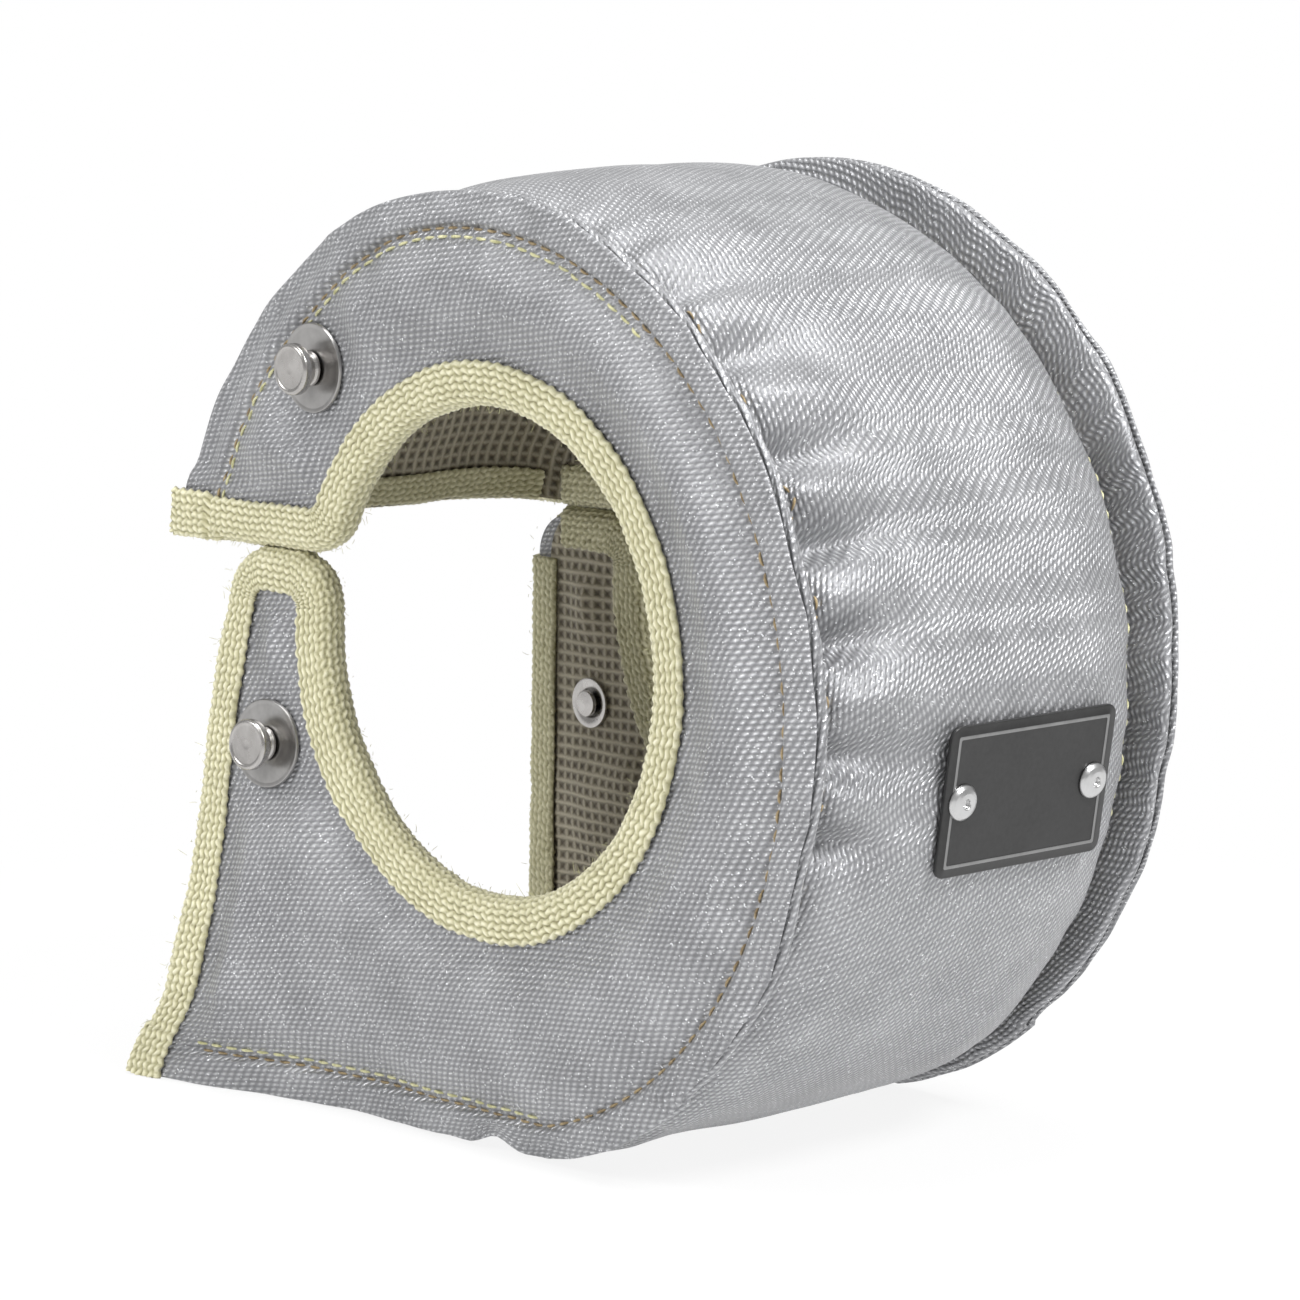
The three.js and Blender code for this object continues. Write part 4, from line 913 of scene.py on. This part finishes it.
def tape_fibres(panel, count, material):
    """Loose fibres that stand from the folded edge of the tape."""
    rng = np.random.default_rng(17 + panel["seed"])
    base, normal, _ = panel_path(panel, 0.5)
    paths = []
    for _ in range(count):
        k = int(rng.integers(10, len(base) - 10))
        level = HALF_WIDTH - SEAM_DIP + 1.5 - 7.5 * rng.random()
        start = np.array([base[k, 0], panel["side"] * level, base[k, 1]])
        drift = np.array([-normal[k, 0], panel["side"] * rng.normal(0, 0.5), -normal[k, 1]])
        drift += rng.normal(0, 0.55, 3)
        reach = rng.uniform(0.3, 1.1)
        curl = rng.normal(0, 0.5, 3)
        t = np.linspace(0, 1, 4)[:, None]
        root = start + 0.3 * np.array([normal[k, 0], 0, normal[k, 1]])
        paths.append(settle(root + reach * (t * drift + t * t * curl)))
    threads(f"{panel['name']}_tape_fibres", paths, 0.055, material)


class Nodes:
    """Short names for the nodes of one material."""

    def __init__(self, name):
        self.material = bpy.data.materials.new(name)
        self.material.use_nodes = True
        self.tree = self.material.node_tree
        self.shader = self.tree.nodes["Principled BSDF"]

    def add(self, kind, **values):
        node = self.tree.nodes.new(kind)
        for key, value in values.items():
            if key in node.inputs:
                node.inputs[key].default_value = value
            else:
                setattr(node, key, value)
        return node

    def link(self, a, b):
        self.tree.links.new(a, b)

    def coords(self, scale, space="UV", turn=0.0):
        source = self.add("ShaderNodeTexCoord")
        mapping = self.add("ShaderNodeMapping")
        mapping.inputs["Scale"].default_value = scale
        mapping.inputs["Rotation"].default_value = (0, 0, turn)
        self.link(source.outputs[space], mapping.inputs["Vector"])
        return mapping.outputs["Vector"]

    def noise(self, vector, scale, detail=3.0, rough=0.55):
        node = self.add("ShaderNodeTexNoise", Scale=scale, Detail=detail, Roughness=rough)
        self.link(vector, node.inputs["Vector"])
        return node.outputs["Fac"]

    def wave(self, vector, scale, distortion=0.0):
        node = self.add("ShaderNodeTexWave", wave_type="BANDS", Scale=scale, Distortion=distortion)
        self.link(vector, node.inputs["Vector"])
        return node.outputs["Fac"]

    def math(self, kind, a, b):
        node = self.add("ShaderNodeMath", operation=kind)
        for k, value in enumerate((a, b)):
            if isinstance(value, (int, float)):
                node.inputs[k].default_value = value
            else:
                self.link(value, node.inputs[k])
        return node.outputs[0]

    def total(self, *terms):
        """The sum of values, each times its weight."""
        parts = [self.math("MULTIPLY", value, weight) for value, weight in terms]
        out = parts[0]
        for part in parts[1:]:
            out = self.math("ADD", out, part)
        return out

    def ramp(self, value, stops):
        node = self.add("ShaderNodeValToRGB")
        node.color_ramp.elements[0].position, node.color_ramp.elements[0].color = stops[0]
        node.color_ramp.elements[1].position, node.color_ramp.elements[1].color = stops[-1]
        for position, colour in stops[1:-1]:
            node.color_ramp.elements.new(position).color = colour
        self.link(value, node.inputs["Fac"])
        return node.outputs["Color"]

    def bump(self, height, strength, distance):
        node = self.add("ShaderNodeBump", Strength=strength, Distance=distance)
        self.link(height, node.inputs["Height"])
        self.link(node.outputs["Normal"], self.shader.inputs["Normal"])

    def set(self, **values):
        for key, value in values.items():
            self.shader.inputs[key.replace("_", " ")].default_value = value


def grey(v, warm=0.0):
    return (v * (1 + warm), v, v * (1 - warm), 1)


def cloth_material():
    """Silver-grey coated glass cloth: a fine twill with soft, worn patches, and painted glints as bright
    specks.
    """
    n = Nodes("coated_cloth")
    uv = n.coords((1, 1, 1))
    twill = n.wave(n.coords((1, 1, 1), turn=1.45), 2.7, 0.5)
    cross = n.wave(n.coords((1, 1, 1), turn=0.5), 2.0, 0.8)
    cloud = n.noise(uv, 0.6, 4)
    grain = n.noise(uv, 18, 4)
    weave = n.math("MULTIPLY", n.math("ADD", twill, 0.35), n.math("ADD", cross, 0.35))
    tone = n.total((weave, 0.26), (cloud, 0.34), (grain, 0.34))
    colour = n.ramp(tone, [(0.2, (0.12, 0.122, 0.128, 1)), (0.5, (0.3, 0.303, 0.315, 1)),
                           (0.85, (0.62, 0.625, 0.64, 1))])
    # Painted glints: sparse near-white specks mixed into the base colour, standing in for the cloth's
    # sparkle.
    glint_cells = n.add("ShaderNodeTexVoronoi", Scale=13.0)
    n.link(uv, glint_cells.inputs["Vector"])
    painted_glint = n.math("MULTIPLY", n.math("LESS_THAN", glint_cells.outputs["Distance"], 0.24),
                   n.math("GREATER_THAN", n.noise(uv, 8, 1), 0.55))
    blend = n.add("ShaderNodeMix", data_type="RGBA")
    n.link(painted_glint, blend.inputs[0])
    n.link(colour, blend.inputs[6])
    blend.inputs[7].default_value = (0.86, 0.87, 0.89, 1)
    n.link(blend.outputs[2], n.shader.inputs["Base Color"])
    n.link(n.math("SUBTRACT", 0.56, n.math("MULTIPLY", weave, 0.12)), n.shader.inputs["Roughness"])
    n.set(Metallic=0.52, Sheen_Weight=0.15, Sheen_Roughness=0.45, Coat_Weight=0.1, Coat_Roughness=0.3)
    n.bump(n.total((weave, 0.7), (grain, 0.5), (n.noise(uv, 2.2, 3), 0.6)), 1.0, 0.00028)
    return n.material


def lining_material():
    """Brown-grey woven glass lining with coarse square yarns and sooty patches."""
    n = Nodes("woven_lining")
    uv = n.coords((1, 1, 1))
    warp = n.wave(uv, 1.1, 0.9)
    weft = n.wave(n.coords((1, 1, 1), turn=math.pi / 2), 1.1, 0.9)
    weave = n.math("MAXIMUM", n.math("MULTIPLY", warp, 0.8), weft)
    cloud = n.noise(uv, 0.6, 4)
    fine = n.noise(uv, 14, 4)
    tone = n.total((weave, 0.55), (cloud, 0.3), (fine, 0.25))
    n.link(n.ramp(tone, [(0.15, (0.06, 0.05, 0.036, 1)), (0.45, (0.2, 0.175, 0.13, 1)),
                         (0.85, (0.5, 0.46, 0.36, 1))]), n.shader.inputs["Base Color"])
    n.set(Roughness=0.9, Sheen_Weight=0.15)
    n.bump(n.math("ADD", weave, n.math("MULTIPLY", fine, 0.4)), 0.9, 0.0009)
    return n.material


def tape_material():
    """Pale yellow-green plaited glass tape, with painted shade and highlight: olive in the gaps between the
    yarns and cream on their tops.
    """
    n = Nodes("plaited_tape")
    uv = n.coords((1, 1, 1))
    # The weave's height colours the tape: painted shade darkens the gaps, painted highlight lightens the yarn
    # tops.
    relief = n.add("ShaderNodeAttribute", attribute_name="relief").outputs["Fac"]
    fibre = n.noise(n.coords((6, 45, 1)), 1.0, 3)
    cloud = n.noise(uv, 0.8, 3)
    tone = n.total((relief, 0.7), (fibre, 0.22), (cloud, 0.16))
    gap_shade_to_yarn_highlight = [(0.2, (0.2, 0.18, 0.085, 1)), (0.5, (0.48, 0.455, 0.27, 1)),
              (0.74, (0.72, 0.69, 0.48, 1)), (0.96, (0.87, 0.85, 0.7, 1))]
    n.link(n.ramp(tone, gap_shade_to_yarn_highlight), n.shader.inputs["Base Color"])
    n.set(Roughness=0.72, Sheen_Weight=0.35, Sheen_Roughness=0.5)
    n.bump(n.math("ADD", fibre, n.math("MULTIPLY", relief, 0.5)), 0.5, 0.0003)
    return n.material


def thread_material(name, low, high):
    n = Nodes(name)
    strand = n.noise(n.coords((900, 900, 900), "Object"), 1.0, 2)
    n.link(n.ramp(strand, [(0.3, low), (0.7, high)]), n.shader.inputs["Base Color"])
    n.set(Roughness=0.7, Sheen_Weight=0.3)
    n.bump(strand, 0.4, 0.0002)
    return n.material


def steel_material(name, low, high, rough, turned):
    """Metal with fine turning marks and faint handling wear."""
    n = Nodes(name)
    around = n.coords((1, 1, 1), "Object")
    marks = n.noise(n.coords((160, 2400, 160), "Object"), 1.0, 3)
    wear = n.noise(around, 260, 3)
    tone = n.total((marks, 0.5 * turned), (wear, 0.5))
    n.link(n.ramp(tone, [(0.25, low), (0.75, high)]), n.shader.inputs["Base Color"])
    n.link(n.math("ADD", rough, n.math("MULTIPLY", wear, 0.14)), n.shader.inputs["Roughness"])
    n.set(Metallic=1.0)
    n.bump(tone, 0.12, 0.00008)
    return n.material


def plate_material():
    n = Nodes("black_plate")
    fine = n.noise(n.coords((1, 1, 1), "Object"), 900, 3)
    cloud = n.noise(n.coords((1, 1, 1), "Object"), 70, 3)
    tone = n.total((fine, 0.5), (cloud, 0.5))
    n.link(n.ramp(tone, [(0.3, grey(0.008)), (0.75, grey(0.022))]), n.shader.inputs["Base Color"])
    n.link(n.math("ADD", 0.3, n.math("MULTIPLY", cloud, 0.2)), n.shader.inputs["Roughness"])
    n.set(Coat_Weight=0.2, Coat_Roughness=0.25)
    n.bump(fine, 0.1, 0.00005)
    return n.material


def area_lamp(name, place, power, size, colour=(1, 1, 1)):
    lamp = bpy.data.lights.new(name, "AREA")
    lamp.energy, lamp.size, lamp.color = power, size, colour
    holder = bpy.data.objects.new(name, lamp)
    bpy.context.scene.collection.objects.link(holder)
    holder.location = place
    holder.rotation_euler = (Vector((0, 0, 0.1)) - Vector(place)).to_track_quat("-Z", "Y").to_euler()


def blend_rays(tree, rays, share, first, second, out):
    """Shows second to rays of these kinds, for a share if one is linked, and first to all others."""
    path = tree.nodes.new("ShaderNodeLightPath")
    seen = tree.nodes.new("ShaderNodeMath")
    seen.operation, seen.use_clamp = "ADD", True
    for k, ray in enumerate(rays):
        tree.links.new(path.outputs[ray], seen.inputs[k])
    if share is not None:
        part = tree.nodes.new("ShaderNodeMath")
        part.operation = "MULTIPLY"
        tree.links.new(seen.outputs[0], part.inputs[0])
        tree.links.new(share, part.inputs[1])
        seen = part
    blend = tree.nodes.new("ShaderNodeMixShader")
    for k, node in enumerate((seen, first, second)):
        tree.links.new(node.outputs[0], blend.inputs[k])
    tree.links.new(blend.outputs[0], out.inputs["Surface"])


def stage():
    """A pale floor and backdrop, soft lamps, and the camera at the photograph's angle."""
    scene = bpy.context.scene
    scene.view_settings.view_transform = "Standard"
    mesh = bpy.data.meshes.new("floor")
    mesh.from_pydata([(-6, -6, 0), (6, -6, 0), (6, 6, 0), (-6, 6, 0)], [], [(0, 1, 2, 3)])
    floor = bpy.data.objects.new("floor", mesh)
    scene.collection.objects.link(floor)
    floor.location.z = -0.0002
    pale = bpy.data.materials.new("pale_floor")
    pale.use_nodes = True
    tree = pale.node_tree
    tree.nodes.clear()
    out = tree.nodes.new("ShaderNodeOutputMaterial")
    diffuse = tree.nodes.new("ShaderNodeBsdfDiffuse")
    diffuse.inputs["Color"].default_value = (0.9, 0.9, 0.9, 1)
    glow = tree.nodes.new("ShaderNodeEmission")
    place = tree.nodes.new("ShaderNodeNewGeometry")
    far = tree.nodes.new("ShaderNodeVectorMath")
    far.operation = "LENGTH"
    tree.links.new(place.outputs["Position"], far.inputs[0])
    fade = tree.nodes.new("ShaderNodeMapRange")
    for key, value in (("From Min", 0.12), ("From Max", 0.34), ("To Min", 0.88), ("To Max", 1.0)):
        fade.inputs[key].default_value = value
    tree.links.new(far.outputs["Value"], fade.inputs["Value"])
    rays = ("Is Camera Ray", "Is Glossy Ray")
    blend_rays(tree, rays, fade.outputs["Result"], diffuse, glow, out)
    mesh.materials.append(pale)
    world = bpy.data.worlds.new("studio")
    scene.world = world
    world.use_nodes = True
    tree = world.node_tree
    tree.nodes.clear()
    out = tree.nodes.new("ShaderNodeOutputWorld")
    light, white = (tree.nodes.new("ShaderNodeBackground") for _ in range(2))
    for node, strength in ((light, 0.42), (white, 1.0)):
        node.inputs["Color"].default_value = (1, 1, 1, 1)
        node.inputs["Strength"].default_value = strength
    blend_rays(tree, ("Is Camera Ray", "Is Transmission Ray"), None, light, white, out)
    area_lamp("key", (-0.35, -1.05, 1.0), 9.0, 0.5)
    area_lamp("side", (0.95, 0.05, 1.05), 17.0, 0.35)
    area_lamp("top", (0.1, -0.1, 1.35), 9.0, 0.5)
    camera = bpy.data.cameras.new("camera")
    holder = bpy.data.objects.new("camera", camera)
    scene.collection.objects.link(holder)
    camera.lens, camera.sensor_width = LENS, SENSOR
    camera.clip_start = 0.05
    level = math.cos(ELEVATION)
    back = Vector((math.sin(AZIMUTH) * level, -math.cos(AZIMUTH) * level, math.sin(ELEVATION)))
    holder.location = TARGET + back * DISTANCE
    holder.rotation_mode = "QUATERNION"
    holder.rotation_quaternion = (-back).to_track_quat("-Z", "Y")
    scene.camera = holder


def dress():
    cloth, lining, tape = cloth_material(), lining_material(), tape_material()
    tan = thread_material("tan_thread", (0.16, 0.11, 0.05, 1), (0.42, 0.32, 0.17, 1))
    pale = thread_material("pale_thread", (0.36, 0.35, 0.16, 1), (0.68, 0.66, 0.4, 1))
    steel = steel_material("stud_steel", grey(0.36, 0.04), grey(0.62, 0.03), 0.2, 1.0)
    washer = steel_material("washer_steel", grey(0.34, 0.02), grey(0.6, 0.02), 0.24, 0.6)
    rivet = steel_material("rivet_metal", grey(0.62), grey(0.85), 0.22, 0.3)
    border = steel_material("plain_border", grey(0.3), grey(0.5), 0.4, 0.3)
    for panel in (FRONT, REAR):
        panel_pad(panel, [cloth, lining])
        panel_tape(panel, [tape])
        anchors(panel, steel, washer)
    band_pad([cloth, lining])
    mouth_tape("mouth_upper_tape", "mouth_upper_binding", True, [tape])
    mouth_tape("mouth_lower_tape", "mouth_lower_binding", False, [tape])
    plate([plate_material(), border], rivet)
    seam_stitches(tan, pale)
    tape_fibres(FRONT, 650, pale)
    tape_fibres(REAR, 350, pale)


dress()
stage()
